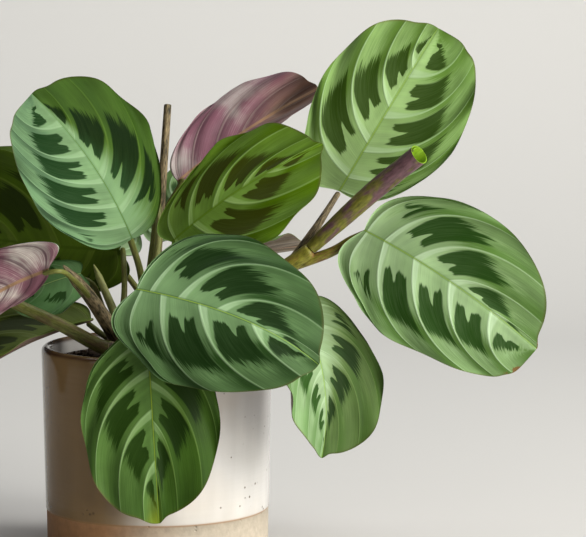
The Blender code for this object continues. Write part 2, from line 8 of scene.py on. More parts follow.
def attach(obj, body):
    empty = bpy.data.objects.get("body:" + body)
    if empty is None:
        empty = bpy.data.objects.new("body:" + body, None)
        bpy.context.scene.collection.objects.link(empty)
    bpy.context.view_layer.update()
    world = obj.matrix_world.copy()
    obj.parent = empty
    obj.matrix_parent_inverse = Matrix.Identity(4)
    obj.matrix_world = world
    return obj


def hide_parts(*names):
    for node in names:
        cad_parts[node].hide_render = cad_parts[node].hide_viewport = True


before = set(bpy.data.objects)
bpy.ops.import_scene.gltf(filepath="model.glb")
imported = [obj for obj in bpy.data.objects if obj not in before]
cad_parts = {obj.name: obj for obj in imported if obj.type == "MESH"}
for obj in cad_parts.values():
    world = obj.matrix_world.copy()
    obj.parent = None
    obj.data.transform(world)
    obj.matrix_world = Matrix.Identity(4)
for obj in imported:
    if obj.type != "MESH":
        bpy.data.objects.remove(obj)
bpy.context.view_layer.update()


def addObject(name, data):
    thing = bpy.data.objects.new(name, data)
    bpy.context.scene.collection.objects.link(thing)
    return thing


# the camera

cameraSetting = {
    "place": (0.0769, -1.4966, 0.3255), "lens": 164.15, "sensorWidth": 36.0,
    "lookDown": 6.2,        # degrees under the horizon
}


def setCamera(setting):
    data = bpy.data.cameras.new("camera")
    data.lens = setting["lens"]
    data.sensor_width = setting["sensorWidth"]
    camera = addObject("camera", data)
    camera.location = setting["place"]
    camera.rotation_euler = (math.radians(90 - setting["lookDown"]), 0, 0)
    bpy.context.scene.camera = camera


# finishes, whose node outputs add up like numbers


class Wire:
    # one node output
    def __init__(self, finish, socket):
        self.finish, self.socket = finish, socket

    def maths(self, operation, *others):
        return self.finish.node("Math", dict(enumerate((self, *others))), operation=operation)

    def __add__(self, other):
        return self.maths("ADD", other)

    def __sub__(self, other):
        return self.maths("SUBTRACT", other)

    def __mul__(self, other):
        return self.maths("MULTIPLY", other)

    def __rsub__(self, other):
        return (self * -1) + other

    __radd__ = __add__
    __rmul__ = __mul__

    def bell(self, width):      # 1 at zero, falling off over the width
        scaled = self.maths("DIVIDE", width)
        return (scaled * scaled * -1.0).maths("EXPONENT")

    def rise(self, low, high):  # 0 below low, 1 above high, smooth between
        plugs = {"Value": self, "From Min": low, "From Max": high}
        return self.finish.node("MapRange", plugs, interpolation_type="SMOOTHSTEP")

    def line(self, start, end):     # 1 on each whole number, 0 from end on to both sides
        return 1.0 - self.maths("MINIMUM", 1.0 - self).rise(start, end)


class Finish:
    # a material, and what its patterns are mixed from
    def __init__(self, name, roughness, sheen=0.28):
        self.material = bpy.data.materials.new(name)
        self.material.use_nodes = True
        self.tree = self.material.node_tree
        self.sockets = self.tree.nodes["Principled BSDF"].inputs
        self.sockets["Roughness"].default_value = roughness
        self.sockets["Specular IOR Level"].default_value = sheen

    def plug(self, value, socket):
        if isinstance(value, Wire):
            self.tree.links.new(value.socket, socket)
        elif isinstance(value, tuple) and socket.type == "RGBA":
            socket.default_value = (*value, 1.0)
        else:
            socket.default_value = value

    def node(self, kind, plugs, output=0, **settings):
        node = self.tree.nodes.new("ShaderNode" + kind)
        for setting, value in settings.items():
            setattr(node, setting, value)
        for key, value in plugs.items():
            self.plug(value, node.inputs[key])
        return Wire(self, node.outputs[output])

    def mix(self, share, first, second):
        return self.node("Mix", {0: share, 6: first, 7: second}, 2, data_type="RGBA")

    def layers(self, colour, *layers):      # each is a share and the colour that it lays on
        for share, over in layers:
            colour = self.mix(share, colour, over)
        return colour

    def axes(self, x, y, z=0.0):
        return self.node("CombineXYZ", {0: x, 1: y, 2: z})

    def split(self, wire):
        axes = self.node("SeparateXYZ", {0: wire}).socket.node
        return [Wire(self, out) for out in axes.outputs]

    def grain(self, vector, scale=1.0, detail=2.0, roughness=0.5):      # noise from 0 to 1
        plugs = {"Vector": vector, "Scale": scale, "Detail": detail, "Roughness": roughness}
        return self.node("TexNoise", plugs)

    def swing(self, *values):       # noise from -0.5 to 0.5
        return self.grain(*values) - 0.5

    def streaks(self, across, along, cells, seed, detail=2.0):      # stretched noise, -0.5 to 0.5
        return self.swing(self.axes(across * cells[0], along * cells[1], seed), 1.0, detail)

    def readUv(self, name):
        return self.split(self.node("UVMap", {}, uv_map=name))[:2]

    def readVeins(self):
        phase, outward = self.readUv("pattern")     # side veins at whole phases, margin at 1
        along, reach = self.readUv("span")          # where the side vein starts, mm from the midrib
        return phase, outward, along, reach, phase.maths("FRACT")

    def place(self):
        return self.node("TexCoord", {}, "Object")

    def shade(self, colour, factor):    # lighter or darker, by a wire round 1
        return self.node("VectorMath", {0: colour, "Scale": factor}, operation="SCALE")

    def times(self, first, second):
        return self.node("VectorMath", {0: first, 1: second}, operation="MULTIPLY")

    def done(self, colour, roughness, height, relief):
        bump = self.node("Bump", {"Distance": relief, "Strength": 1.0, "Height": height})
        for socket, value in (("Base Color", colour), ("Roughness", roughness), ("Normal", bump)):
            self.plug(value, self.sockets[socket])
        return self.material


# meshes from arrays


def makePiece(name, points, faces, finishes, faceFinish=None, uvs=None, sharp=50):
    mesh = bpy.data.meshes.new(name)
    mesh.from_pydata(np.asarray(points, float).tolist(), [], [tuple(map(int, f)) for f in faces])
    for finish in finishes:
        mesh.materials.append(finish)
    if faceFinish is not None:
        mesh.polygons.foreach_set("material_index", np.asarray(faceFinish, np.int32))
    for layerName, values in (uvs or {}).items():      # one pair for each face corner
        layer = mesh.uv_layers.new(name=layerName)
        layer.data.foreach_set("uv", np.asarray(values, np.float32).ravel())
    mesh.shade_smooth()
    mesh.set_sharp_from_angle(angle=math.radians(sharp))
    mesh.validate()
    return addObject(name, mesh)


def standFor(piece, node):
    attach(piece, "root")
    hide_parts(node)


def circle(radius, z, sides):
    turn = 2 * np.pi * np.arange(sides) / sides
    return [(radius * math.cos(t), radius * math.sin(t), z) for t in turn]


def ringFaces(rings, sides, first=0):       # between rings of points that follow each other
    starts = [first + ring * sides for ring in range(rings - 1)]
    pairs = [(start + s, start + (s + 1) % sides) for start in starts for s in range(sides)]
    return [(a, b, b + sides, a + sides) for a, b in pairs]


def fanFaces(middle, first, sides, down=False):     # from a ring of points to one point
    near, far = (1, 0) if down else (0, 1)
    return [(middle, first + (s + near) % sides, first + (s + far) % sides) for s in range(sides)]


def bow(start, pull, end, t):       # a curve from start to end that leans towards pull
    return (1 - t) ** 2 * start + 2 * (1 - t) * t * pull + t**2 * end


def unit(vector):
    vector = np.asarray(vector, float)
    return vector / np.linalg.norm(vector, axis=-1, keepdims=True)


def runAlong(points):       # each point's distance from the first one
    return np.concatenate([[0], np.cumsum(np.linalg.norm(np.diff(points, axis=0), axis=1))])


def smoothPath(points, step):
    points = np.array(points, float)
    ends = np.vstack([2 * points[0] - points[1], points, 2 * points[-1] - points[-2]])
    out = []
    for a, b, c, d in zip(ends, ends[1:], ends[2:], ends[3:]):
        count = max(1, round(float(np.linalg.norm(c - b)) / step))
        for t in np.arange(count) / count:
            out.append(0.5 * (2 * b + (c - a) * t + (2 * a - 5 * b + 4 * c - d) * t**2
                              + (3 * b - a - 3 * c + d) * t**3))
    return np.vstack([out, points[-1]])


def carriedFrames(path):
    tangents = unit(np.gradient(path, axis=0))
    start = np.array((0.0, 1.0, 0.0)) if abs(tangents[0][1]) < 0.9 else np.array((1.0, 0.0, 0.0))
    across = [unit(start - tangents[0] * (start @ tangents[0]))]
    for tangent in tangents[1:]:
        across.append(unit(across[-1] - tangent * (across[-1] @ tangent)))
    across = np.array(across)
    return tangents, across, np.cross(tangents, across)


# leaf finishes

paleGreen = {
    "pale": (0.315, 0.47, 0.235),       # round the midrib and between the blotches
    "outer": (0.085, 0.18, 0.034),      # beyond the blotches
    "blotch": (0.01, 0.046, 0.001), "vein": (0.45, 0.615, 0.39), "rib": (0.2, 0.33, 0.04),
    "edge": (0.11, 0.11, 0.035), "nibble": (0.17, 0.1, 0.035), "glow": (0.22, 0.28, 0.015),
    "halfShades": ((1.0, 1.0, 1.0), (1.0, 1.0, 1.0)),    # painted light and shade: a colour for the left and the right half, darker or lighter for the light on each
    "inner": 0.12, "end": 0.6,          # where the blotches start and end, as shares to the margin
    "size": 1.0,
    "stripe": 0.4,                      # how soon the silvery stripes end towards the margin
    "dry": 0.0,                         # brown nibbles along the margin near the tip
    "tipGlow": 0.0,                     # yellow green towards the tip
    "roughness": 0.5, "sheen": 0.12,
}

# pairs are where a change starts and ends; outward is 1 at the margin, a step is from one side vein
# to the next, and along is 1 at the tip
topPattern = {
    "fingers": (7.0, 2.0), "brush": (28.0, 3.5),    # noise cells for a step, and outward
    "cloud": 45.0, "patches": 260.0, "relief": 0.00025,
    "outside": (0.22, 0.58), "before": (0.3, 0.9),  # where the ground turns green: outward; and in a step, towards the next side vein, partly painted shade
    "grown": (0.02, 0.17), "shrunk": (0.66, 0.95),  # where blotches reach full size, and lose it, along
    "middle": 0.38,                                 # a blotch grows out of here, outward
    "toothAt": 0.52, "toothWidth": 0.065, "toothDepth": 0.13,
    "first": 0.03, "lean": 0.55, "leanTo": 0.44, "last": 0.88,      # a blotch's sides, in a step
    "trail": 0.2, "stripeWidth": 0.21, "stripeShare": 0.68, "line": (0.01, 0.042), "lineShare": 0.84,
    "glow": (0.8, 1.02), "ribWidth": 0.42, "ribTaper": 0.25, "ribEdge": 0.55,       # widths in mm
    "margin": (0.975, 0.995), "marginShare": 0.55, "nibbles": (0.6, 0.72), "halfShadeTo": 0.4,
}

purpleUnder = {
    "purple": (0.18, 0.075, 0.105), "silver": (0.29, 0.255, 0.245),
    "vein": (0.32, 0.23, 0.22), "rib": (0.3, 0.18, 0.1), "tip": (0.15, 0.085, 0.045),
    "silverShare": 0.25, "tipShare": 0.0,
}

underPattern = {
    "brush": (26.0, 3.0), "cloud": 40.0, "silver": (0.1, 0.6), "tip": (0.4, 0.85), "line": (0.02, 0.07),
    "rib": (0.7, 1.3), "roughness": 0.48, "relief": 0.00025,
}


def paintTop(name, look, seed):
    form = topPattern
    finish = Finish(name, look["roughness"], look["sheen"])
    phase, outward, along, reach, step = finish.readVeins()     # a step is 0 on a side vein
    chance = finish.swing(finish.axes(phase.maths("FLOOR") * 3.7, seed), 1.0, 0.0)
    fingers = finish.streaks(phase, outward, form["fingers"], seed)
    brush = finish.streaks(phase, outward, form["brush"], seed + 9)
    cloud = finish.swing(finish.place(), form["cloud"])

    # ground: pale round the midrib, greener outside, and darker just before each side vein, partly the leaf's
    # own colour and partly painted shade of the quilted blade
    outside = (outward + fingers * 0.5 + brush * 0.5).rise(*form["outside"])
    before = (step + fingers * 0.35 + brush * 0.2).rise(*form["before"])
    colour = finish.mix(outside * (before * 0.38 + 0.6) + before * (1.0 - outside) * 0.25,
                        look["pale"], look["outer"])
    colour = finish.shade(colour, cloud * 0.8 + brush * 0.36 * outward + fingers * 0.55 + 1.0)

    # dark blotches with a small pale tooth on the midrib's side, brushed out at their other end
    size = along.rise(*form["grown"]) * (1.0 - along.rise(*form["shrunk"]) * 0.6) * look["size"]
    size = size + chance * 0.3
    tooth = (step - (chance * 0.5 + form["toothAt"])).bell(form["toothWidth"])
    tooth = tooth * (chance * 0.25 + form["toothDepth"])
    middle = form["middle"]
    inner = middle - (middle - look["inner"]) * size + tooth + fingers * 0.13 + brush * 0.06
    end = middle + (look["end"] - middle + step * 0.08) * size + fingers * 0.16 + brush * 0.34
    first = (form["leanTo"] - outward).maths("MAXIMUM", 0.0) * form["lean"] + form["first"]
    first = first + (1.0 - size) * 0.1
    last = form["last"] - (1.0 - size) * 0.22 - outward * 0.1
    sides = (step - first).maths("MINIMUM", last - step) + fingers * 0.05 + brush * 0.05
    blotch = (outward - inner).rise(0.0, 0.03) * (end - outward).rise(-0.03, 0.07) * sides.rise(0.0, 0.05)
    trail = (end + form["trail"] - outward).rise(-0.1, 0.2) * (step - 0.5).bell(0.3) * (1.0 - blotch)
    trail = trail * (outward - end).rise(-0.05, 0.05) * (brush * 2.0 + 0.55)

    # a silvery stripe on the tip side of each side vein, and its thin pale line
    stripe = (form["stripeWidth"] - outward * look["stripe"] - step + brush * 0.06).rise(0.0, 0.06)
    line = step.line(*form["line"])
    colour = finish.layers(colour, (blotch * (brush * 0.15 + 0.93), look["blotch"]),
                           (trail.maths("MAXIMUM", 0.0) * 0.8, look["pale"]),
                           (stripe * form["stripeShare"], look["vein"]),
                           (line * (form["lineShare"] - outward * 0.55), look["vein"]))

    if look["tipGlow"]:
        glow = (along + outward * 0.15 + cloud * 0.3).rise(*form["glow"])
        colour = finish.mix(glow * look["tipGlow"], colour, look["glow"])

    # the midrib's thin line with a dark edge, and the thin brown margin
    ribWidth = form["ribWidth"] - along * form["ribTaper"]
    margin = (outward + brush * 0.01).rise(*form["margin"]) * form["marginShare"]
    colour = finish.layers(colour, ((reach - form["ribEdge"]).bell(0.25) * 0.5, look["outer"]),
                           (1.0 - reach.rise(ribWidth * 0.5, ribWidth), look["rib"]),
                           (margin, look["edge"]))
    if look["dry"]:
        patches = finish.grain(finish.place(), form["patches"], 3.0)
        nibble = (patches * 0.5 + outward).rise(1.27 - look["dry"], 1.3 - look["dry"])
        colour = finish.mix(nibble * along.rise(*form["nibbles"]), colour, look["nibble"])
    # painted light and shade: each half of the blade is darkened or lightened, fading in from the midrib, for
    # the light that falls on it
    halfShade = finish.mix(phase.maths("GREATER_THAN", bladeForm["rightPhase"] / 2), *look["halfShades"])
    halfShade = finish.mix((outward + fingers * 0.3).rise(0.0, form["halfShadeTo"]), (1.0, 1.0, 1.0), halfShade)
    return finish.done(finish.times(colour, halfShade), brush * 0.2 + cloud * 0.15 + look["roughness"],
                       brush * 0.4 + fingers * 0.4 + line * 0.5 + cloud * 0.3, form["relief"])


def paintUnder(name, look, seed):
    form = underPattern
    finish = Finish(name, form["roughness"])
    phase, outward, along, reach, step = finish.readVeins()
    brush = finish.streaks(phase, outward, form["brush"], seed)
    cloud = finish.swing(finish.place(), form["cloud"], 3.0)
    silver = (cloud * 1.6 + brush * 0.6 + look["silverShare"]).rise(*form["silver"])
    towardsTip = (along + outward * 0.25 + cloud * 0.4).rise(*form["tip"]) * look["tipShare"]
    line = step.line(*form["line"])
    colour = finish.layers(look["purple"], (silver, look["silver"]), (towardsTip, look["tip"]),
                           (line * (0.7 - outward * 0.4), look["vein"]),
                           (1.0 - reach.rise(*form["rib"]), look["rib"]))
    band = (step - 0.55).bell(0.3) * 0.5 - 0.25
    colour = finish.shade(colour, cloud * 0.9 + brush * 0.7 + band + 1.0)
    return finish.done(colour, brush * 0.2 + form["roughness"], line * 0.9 + brush * 0.5, form["relief"])


# leaf blades

bladeForm = {
    "rows": 96, "columns": 24, "columnPower": 1.1, "lastRow": 0.9995, "rightPhase": 20,
    "thickness": 0.0005, "marginThickness": 0.0003,
    "rib": 0.0006, "ribWidth": 0.0016, "ribFade": 0.7, "groove": 0.00022, "grooveWidth": 0.0007,
    "ridge": 0.00012, "ridgeWidth": 0.06,       # under each side vein, its width in steps
    "pleat": 0.0011, "pleatStart": 0.004, "waves": 3, "waveStart": 0.3, "crowding": 1.3,
    "lobeShare": 0.3, "lobeReach": 0.92, "lobePower": 1.2, "cusp": 0.035, "cuspShare": 0.03,
    # side veins: the first one's end on the outline, how soon the next ones end near the tip,
    # and where they bend
    "firstEnd": 0.45, "endRush": 2.7, "bendAlong": 0.27, "bendOut": 1.15, "firstBendOut": 0.8,
    "bendFade": 0.12, "baseBlend": 0.08,
}

# values that most leaves share; pairs are for the left and the right half, but for the seeds of the
# patterns above and below
plainLeaf = {
    "lobe": (0.12, 0.12), "taper": (0.86, 0.86), "shoulder": (0.9, 0.9), "point": (0.85, 0.85),
    "arch": 0.006, "sway": 0.0, "bend": 0.5, "fold": (4, 4), "curl": (-10, -10), "wave": 0.0018,
    "meets": "underside", "veins": (6, 6), "veinCrowding": (1.8, 1.8), "look": {}, "under": {},
}


def marginPoint(q, leaf, which):
    form = bladeForm
    along = ((1 - np.cos(np.pi * q)) / 2) ** leaf["taper"][which]
    lobe = leaf["lobe"][which] * form["lobeReach"]
    lobePower = form["lobePower"] if lobe > 0 else 2
    along = along - lobe * np.abs(np.sin(np.pi * np.minimum(q / form["lobeShare"], 1))) ** lobePower
    along = (along + form["cusp"] * np.exp(-(((1 - q) / form["cuspShare"]) ** 2))) / (1 + form["cusp"])
    shoulder, point = leaf["shoulder"][which], leaf["point"][which]
    power = shoulder + (point - shoulder) * np.clip(2 * q - 1, 0, 1)
    return along, np.abs(np.sin(np.pi * q)) ** power


def veinPoint(k, v, leaf, which):
    # a point of a half blade: k picks the side vein, v runs along it; also its share of the outline
    form = bladeForm
    u = k ** form["crowding"]
    bendOut = form["bendOut"] - (form["bendOut"] - form["firstBendOut"]) * np.exp(-u / form["bendFade"])
    q = 1 - (1 - form["firstEnd"]) * (1 - u) ** form["endRush"]
    endX, endY = marginPoint(q, leaf, which)
    x = bow(u, u + form["bendAlong"] * (endX - u), endX, v)
    y = bow(0.0, bendOut * endY, endY, v)
    baseX, baseY = marginPoint(form["firstEnd"] * v, leaf, which)
    nearBase = np.exp(-u / form["baseBlend"])
    outline = q + (form["firstEnd"] * v - q) * nearBase
    return x + (baseX - x) * nearBase, y + (baseY - y) * nearBase, outline


def midribFrames(leaf, x):
    base, tip = np.array(leaf["base"]), np.array(leaf["tip"])
    chord = unit(tip - base)
    face = np.array(leaf["face"], float)
    up = unit(face - chord * (face @ chord))
    right = np.cross(chord, up)
    pull = base + (tip - base) * leaf["bend"] + 2 * (leaf["arch"] * up + leaf["sway"] * right)
    t = np.linspace(0, 1, 65)[:, None]
    run = runAlong(bow(base, pull, tip, t))
    inside = np.clip(x, 0, 1)
    share = np.interp(inside * run[-1], run, t[:, 0])[..., None]
    tangent = unit((1 - share) * (pull - base) + share * (tip - pull))
    place = bow(base, pull, tip, share) + tangent * (x - inside)[..., None] * run[-1]
    normal = unit(face - tangent * np.sum(tangent * face, axis=-1, keepdims=True))
    return place, tangent, normal, np.cross(tangent, normal)


def bladeSide(leaf, k, v, side):
    # one half of a blade: its middle surface, the way up, the phase, the side vein's start, the
    # share along, and the distance from the midrib
    form = bladeForm
    which = 0 if side < 0 else 1
    x, y, outline = veinPoint(k, v, leaf, which)
    place, _, normal, across = midribFrames(leaf, x)
    half = leaf["halves"][which]
    reach = y * half
    start = math.radians(leaf["fold"][which])
    bend = math.radians(leaf["curl"][which]) / half
    angle = start + bend * reach
    out = side * (np.sin(angle) - math.sin(start)) / bend
    rise = (math.cos(start) - np.cos(angle)) / bend
    upward = normal * np.cos(angle)[..., None] - across * side * np.sin(angle)[..., None]
    u = k ** form["crowding"]
    phase = leaf["veins"][which] * u ** (1 / leaf["veinCrowding"][which])
    pleat = -form["pleat"] * np.abs(np.sin(np.pi * phase)) ** 0.8 * np.sin(np.pi * v) ** 0.5
    pleat = pleat * np.clip(reach / form["pleatStart"], 0, 1)
    around = np.clip((outline - form["waveStart"]) / (1 - form["waveStart"]), 0, 1)
    around = around ** (1 / form["crowding"])
    wave = leaf["wave"] * np.sin(2 * np.pi * form["waves"] * around + leaf["phase"] + side)
    wave = wave * v**2 * np.sqrt(np.abs(np.sin(np.pi * around)))
    point = place + across * out[..., None] + normal * rise[..., None]
    return point + upward * (pleat + wave)[..., None], upward, phase, u, x, reach


leaves = {}     # by name, for the stalks


def growLeaf(name, leaf):
    form = bladeForm
    leaf = leaves[name] = {**plainLeaf, **leaf}
    node = "leaf_" + name
    rows, columns = form["rows"], form["columns"]
    v = (np.arange(columns + 1) / columns) ** form["columnPower"]
    k = np.arange(rows + 1) / rows
    k[-1] = form["lastRow"]
    kk, vv = np.meshgrid(k, v, indexing="ij")
    left, right = (*bladeSide(leaf, kk, vv, -1), vv), (*bladeSide(leaf, kk, vv, 1), vv)
    points, ups, phases, start, x, reach, spread = [
        np.concatenate([a[:, :0:-1], b], axis=1) for a, b in zip(left, right)]
    ups[:, columns] = midribFrames(leaf, k ** form["crowding"])[2]
    # the right half's phase starts further on, so that its marks differ from the left half's
    leftPhase = np.concatenate([left[2][:, ::-1], right[2][:, 1:]], axis=1)
    thick = form["thickness"] + (form["marginThickness"] - form["thickness"]) * spread**3
    groove = form["groove"] * np.exp(-((reach / form["grooveWidth"]) ** 2))
    rib = form["rib"] * np.exp(-((reach / form["ribWidth"]) ** 2))
    rib = rib * (1 - form["ribFade"] * np.clip(x, 0, 1))
    ridge = np.exp(-(((phases + 0.5) % 1 - 0.5) / form["ridgeWidth"]) ** 2)
    ridge = form["ridge"] * ridge * np.sin(np.pi * spread)
    top = points + ups * (thick / 2 - groove)[..., None]
    under = points - ups * (thick / 2 + rib + ridge)[..., None]
    wide = 2 * columns + 1
    count = (rows + 1) * wide
    grid = np.arange(count).reshape(rows + 1, wide)
    a, b = grid[:-1, :-1].ravel(), grid[:-1, 1:].ravel()
    c, d = grid[1:, 1:].ravel(), grid[1:, :-1].ravel()
    isLeft = np.tile(np.arange(wide - 1) < columns, rows)
    upper = np.stack([a, b, c, d], 1)
    lower = np.stack([d, c, b, a], 1) + count
    edge = np.concatenate([grid[0, :], grid[1:, -1], grid[-1, -2::-1], grid[-2:0:-1, 0]])
    after = np.roll(edge, -1)
    rim = np.stack([after, edge, edge + count, after + count], 1)
    faces = np.concatenate([upper, lower, rim])
    kinds = np.concatenate([np.zeros(len(upper)), np.ones(len(lower)), np.zeros(len(rim))])
    onLeft = np.concatenate([isLeft, isLeft, np.ones(len(rim), bool)])
    at = faces % count
    phaseAt = np.where(onLeft[:, None], leftPhase.ravel()[at], phases.ravel()[at] + form["rightPhase"])
    pattern = np.stack([phaseAt, spread.ravel()[at]], -1)
    span = np.stack([start.ravel()[at], reach.ravel()[at] * 1000], -1)
    finishes = [paintTop(node + "_top", {**paleGreen, **leaf["look"]}, leaf["seeds"][0]),
                paintUnder(node + "_under", {**purpleUnder, **leaf["under"]}, leaf["seeds"][1])]
    blade = makePiece(node + "_blade", np.concatenate([top.reshape(-1, 3), under.reshape(-1, 3)]),
                      faces, finishes, kinds, {"pattern": pattern, "span": span})
    standFor(blade, node)


print("growing the leaves")
# each leaf's own colours and half shades are set lighter or darker, and some bluer, for the light and shade
# on it: painted light and shade over the leaves' real variation
growLeaf("upper_left", {
    "base": (-0.0117, -0.034, 0.1832), "tip": (-0.0636, -0.058, 0.2638), "face": (0.3, -0.94, 0.12),
    "halves": (0.0393, 0.0448), "lobe": (0.037, 0.049), "taper": (0.96, 0.92), "shoulder": (1.0, 1.14),
    "point": (0.29, 0.76), "arch": 0.004, "sway": 0.0045, "fold": (4, -6), "curl": (-8, -26), "phase": 0.4,
    "veins": (7, 5), "veinCrowding": (1.78, 1.86), "seeds": (3, 1),
    "look": {"pale": (0.175, 0.3, 0.14), "outer": (0.095, 0.18, 0.09),
             "blotch": (0.004, 0.028, 0.003), "vein": (0.25, 0.39, 0.21), "rib": (0.09, 0.18, 0.04),
             "size": 1.05,
             "halfShades": ((0.96, 0.98, 1.0), (0.28, 0.34, 0.09)), "sheen": 0.04, "roughness": 0.6},
})
# painted shade: this leaf's colours are darkened for the shade it stands in
growLeaf("front", {
    "base": (-0.0067, -0.08, 0.1606), "tip": (0.0905, -0.092, 0.1215), "face": (0.1, -0.9, 0.42),
    "halves": (0.0458, 0.0457), "lobe": (-0.011, 0.115), "taper": (1.05, 1.46), "shoulder": (0.97, 1.07),
    "point": (1.01, 0.68), "arch": 0.009, "sway": -0.0043, "bend": 0.62, "fold": (3, -4),
    "curl": (-16, -30), "wave": 0.0016, "phase": 2.0,
    "veinCrowding": (2.1, 2.7), "seeds": (5, 1),
    "look": {"pale": (0.175, 0.305, 0.135), "outer": (0.018, 0.056, 0.009),
             "blotch": (0.006, 0.026, 0.002), "vein": (0.36, 0.53, 0.31), "sheen": 0.08,
             "halfShades": ((0.66, 0.7, 0.62), (0.72, 0.74, 0.68))},
})
growLeaf("hanging_front", {
    "base": (-0.0015, -0.072, 0.1399), "tip": (0.0051, -0.084, 0.0342), "face": (0.0, -0.98, 0.12),
    "halves": (0.0365, 0.0389), "lobe": (0.11, -0.031), "taper": (0.96, 0.91), "shoulder": (0.87, 0.8),
    "point": (1.07, 0.62), "arch": 0.004, "curl": (-20, -20), "phase": 1.0,
    "veinCrowding": (1.8, 2.1), "seeds": (7, 1),
    "look": {"pale": (0.095, 0.19, 0.045), "outer": (0.052, 0.115, 0.022),
             "blotch": (0.012, 0.036, 0.002), "vein": (0.23, 0.37, 0.15), "rib": (0.18, 0.26, 0.02),
             "halfShades": ((0.5, 0.56, 0.27), (1.08, 1.06, 1.04)), "stripe": 0.24, "end": 0.55, "sheen": 0.08,
             "tipGlow": 0.6},
})
growLeaf("hanging_right", {
    "base": (0.0804, -0.037, 0.1468), "tip": (0.0926, -0.057, 0.065), "face": (0.7, -0.7, 0.15),
    "halves": (0.0362, 0.053), "lobe": (0.091, 0.12), "taper": (0.76, 0.98), "shoulder": (1.03, 0.91),
    "point": (1.13, 0.82), "arch": 0.004, "sway": -0.0062, "fold": (16, 18), "curl": (8, 8), "phase": 3.0,
    "veins": (6, 7), "veinCrowding": (1.7, 1.5), "seeds": (9, 1),
    "look": {"pale": (0.26, 0.37, 0.205), "vein": (0.33, 0.46, 0.275), "size": 0.75,
             "halfShades": ((0.36, 0.4, 0.22), (1.0, 1.0, 1.0)), "outer": (0.11, 0.205, 0.07), "sheen": 0.06},
})
growLeaf("right", {
    "base": (0.1162, -0.03, 0.1875), "tip": (0.2099, -0.052, 0.1244), "face": (-0.12, -0.97, 0.16),
    "halves": (0.0425, 0.0452), "lobe": (0.028, 0.089), "taper": (0.95, 1.29), "shoulder": (0.96, 1.07),
    "point": (1.01, 0.28), "sway": -0.0035, "fold": (3, 4), "curl": (-10, -22), "phase": 0.0,
    "seeds": (11, 1),
    "look": {"dry": 0.06, "halfShades": ((0.8, 0.82, 0.74), (1.0, 1.0, 1.0))},
})
growLeaf("upper_right", {
    "base": (0.1029, 0.002, 0.2064), "tip": (0.159, 0.022, 0.2975), "face": (-0.02, -0.97, 0.22),
    "halves": (0.0415, 0.0439), "lobe": (0.096, 0.026), "taper": (0.95, 0.87), "shoulder": (0.78, 0.93),
    "point": (0.6, 0.31), "arch": 0.004, "phase": 1.7, "meets": "notch",
    "veins": (5, 6), "veinCrowding": (1.33, 2.0), "seeds": (13, 1),
    "look": {"blotch": (0.018, 0.044, 0.001), "pale": (0.26, 0.405, 0.155),
             "outer": (0.082, 0.165, 0.022), "vein": (0.35, 0.505, 0.27), "sheen": 0.1,
             "halfShades": ((1.0, 1.0, 1.0), (0.84, 0.88, 0.8))},
})
# painted light: this leaf is a brighter yellow green for light coming through it from behind
growLeaf("upper_middle", {
    "base": (0.0097, -0.022, 0.1801), "tip": (0.0933, -0.034, 0.2351), "face": (-0.39, -0.77, 0.51),
    "halves": (0.0414, 0.0427), "lobe": (0.133, 0.11), "taper": (0.88, 0.84), "shoulder": (1.06, 1.03),
    "point": (1.12, 0.9), "sway": -0.0005, "fold": (-4, 4), "curl": (-14, 4), "phase": 2.4,
    "veins": (6, 5), "veinCrowding": (1.68, 1.87), "seeds": (15, 1),
    "look": {"pale": (0.185, 0.33, 0.05), "outer": (0.072, 0.148, 0.001), "sheen": 0.07,
             "blotch": (0.038, 0.046, 0.001), "vein": (0.33, 0.51, 0.15), "rib": (0.15, 0.28, 0.01)},
})
growLeaf("furled_top", {
    "base": (0.0112, 0.014, 0.2113), "tip": (0.0912, 0.036, 0.263), "face": (-0.42, 0.72, 0.55),
    "halves": (0.025, 0.026), "lobe": (0.05, 0.05), "point": (0.9, 0.65), "arch": 0.004,
    "fold": (0, 0), "curl": (60, 95), "wave": 0.0012, "phase": 0.9, "seeds": (17, 17),
    "under": {"tipShare": 0.8},
})
growLeaf("folded_left", {
    "base": (-0.0552, -0.061, 0.1692), "tip": (-0.1238, -0.072, 0.1255), "face": (-0.25, 0.9, 0.4),
    "halves": (0.0255, 0.019), "lobe": (0.22, -0.04), "point": (0.9, 0.9), "arch": 0.01,
    "fold": (0, 0), "curl": (70, 50), "wave": 0.0012, "phase": 1.4, "seeds": (19, 19),
    "under": {"purple": (0.2, 0.085, 0.115), "silver": (0.5, 0.465, 0.42),
              "vein": (0.1, 0.04, 0.06)},
})
# painted shade: this leaf's colours are darkened for the shade it stands in
growLeaf("left", {
    "base": (-0.0227, 0.03, 0.1704), "tip": (-0.1424, 0.064, 0.1819), "face": (-0.05, -0.99, 0.02),
    "halves": (0.038, 0.056), "shoulder": (1.0, 0.9), "sway": -0.0025, "phase": 2.8, "meets": "notch",
    "seeds": (21, 1),
    "look": {"pale": (0.085, 0.15, 0.01), "outer": (0.042, 0.08, 0.003),
             "vein": (0.12, 0.19, 0.02), "blotch": (0.018, 0.034, 0.001), "rib": (0.06, 0.11, 0.005)},
})
growLeaf("low_left", {
    "base": (-0.0374, 0.004, 0.134), "tip": (-0.1345, -0.01, 0.08), "face": (0.0, -0.1, 0.99),
    "halves": (0.035, 0.035), "lobe": (0.05, 0.05), "point": (0.9, 0.9), "arch": 0.008,
    "fold": (10, 20), "curl": (10, 16), "phase": 0.2, "seeds": (23, 23),
    "look": {"pale": (0.12, 0.17, 0.03), "outer": (0.07, 0.1, 0.012),
             "blotch": (0.026, 0.04, 0.004), "vein": (0.18, 0.23, 0.06)},
    "under": {"purple": (0.13, 0.07, 0.05), "silver": (0.15, 0.12, 0.09)},
})
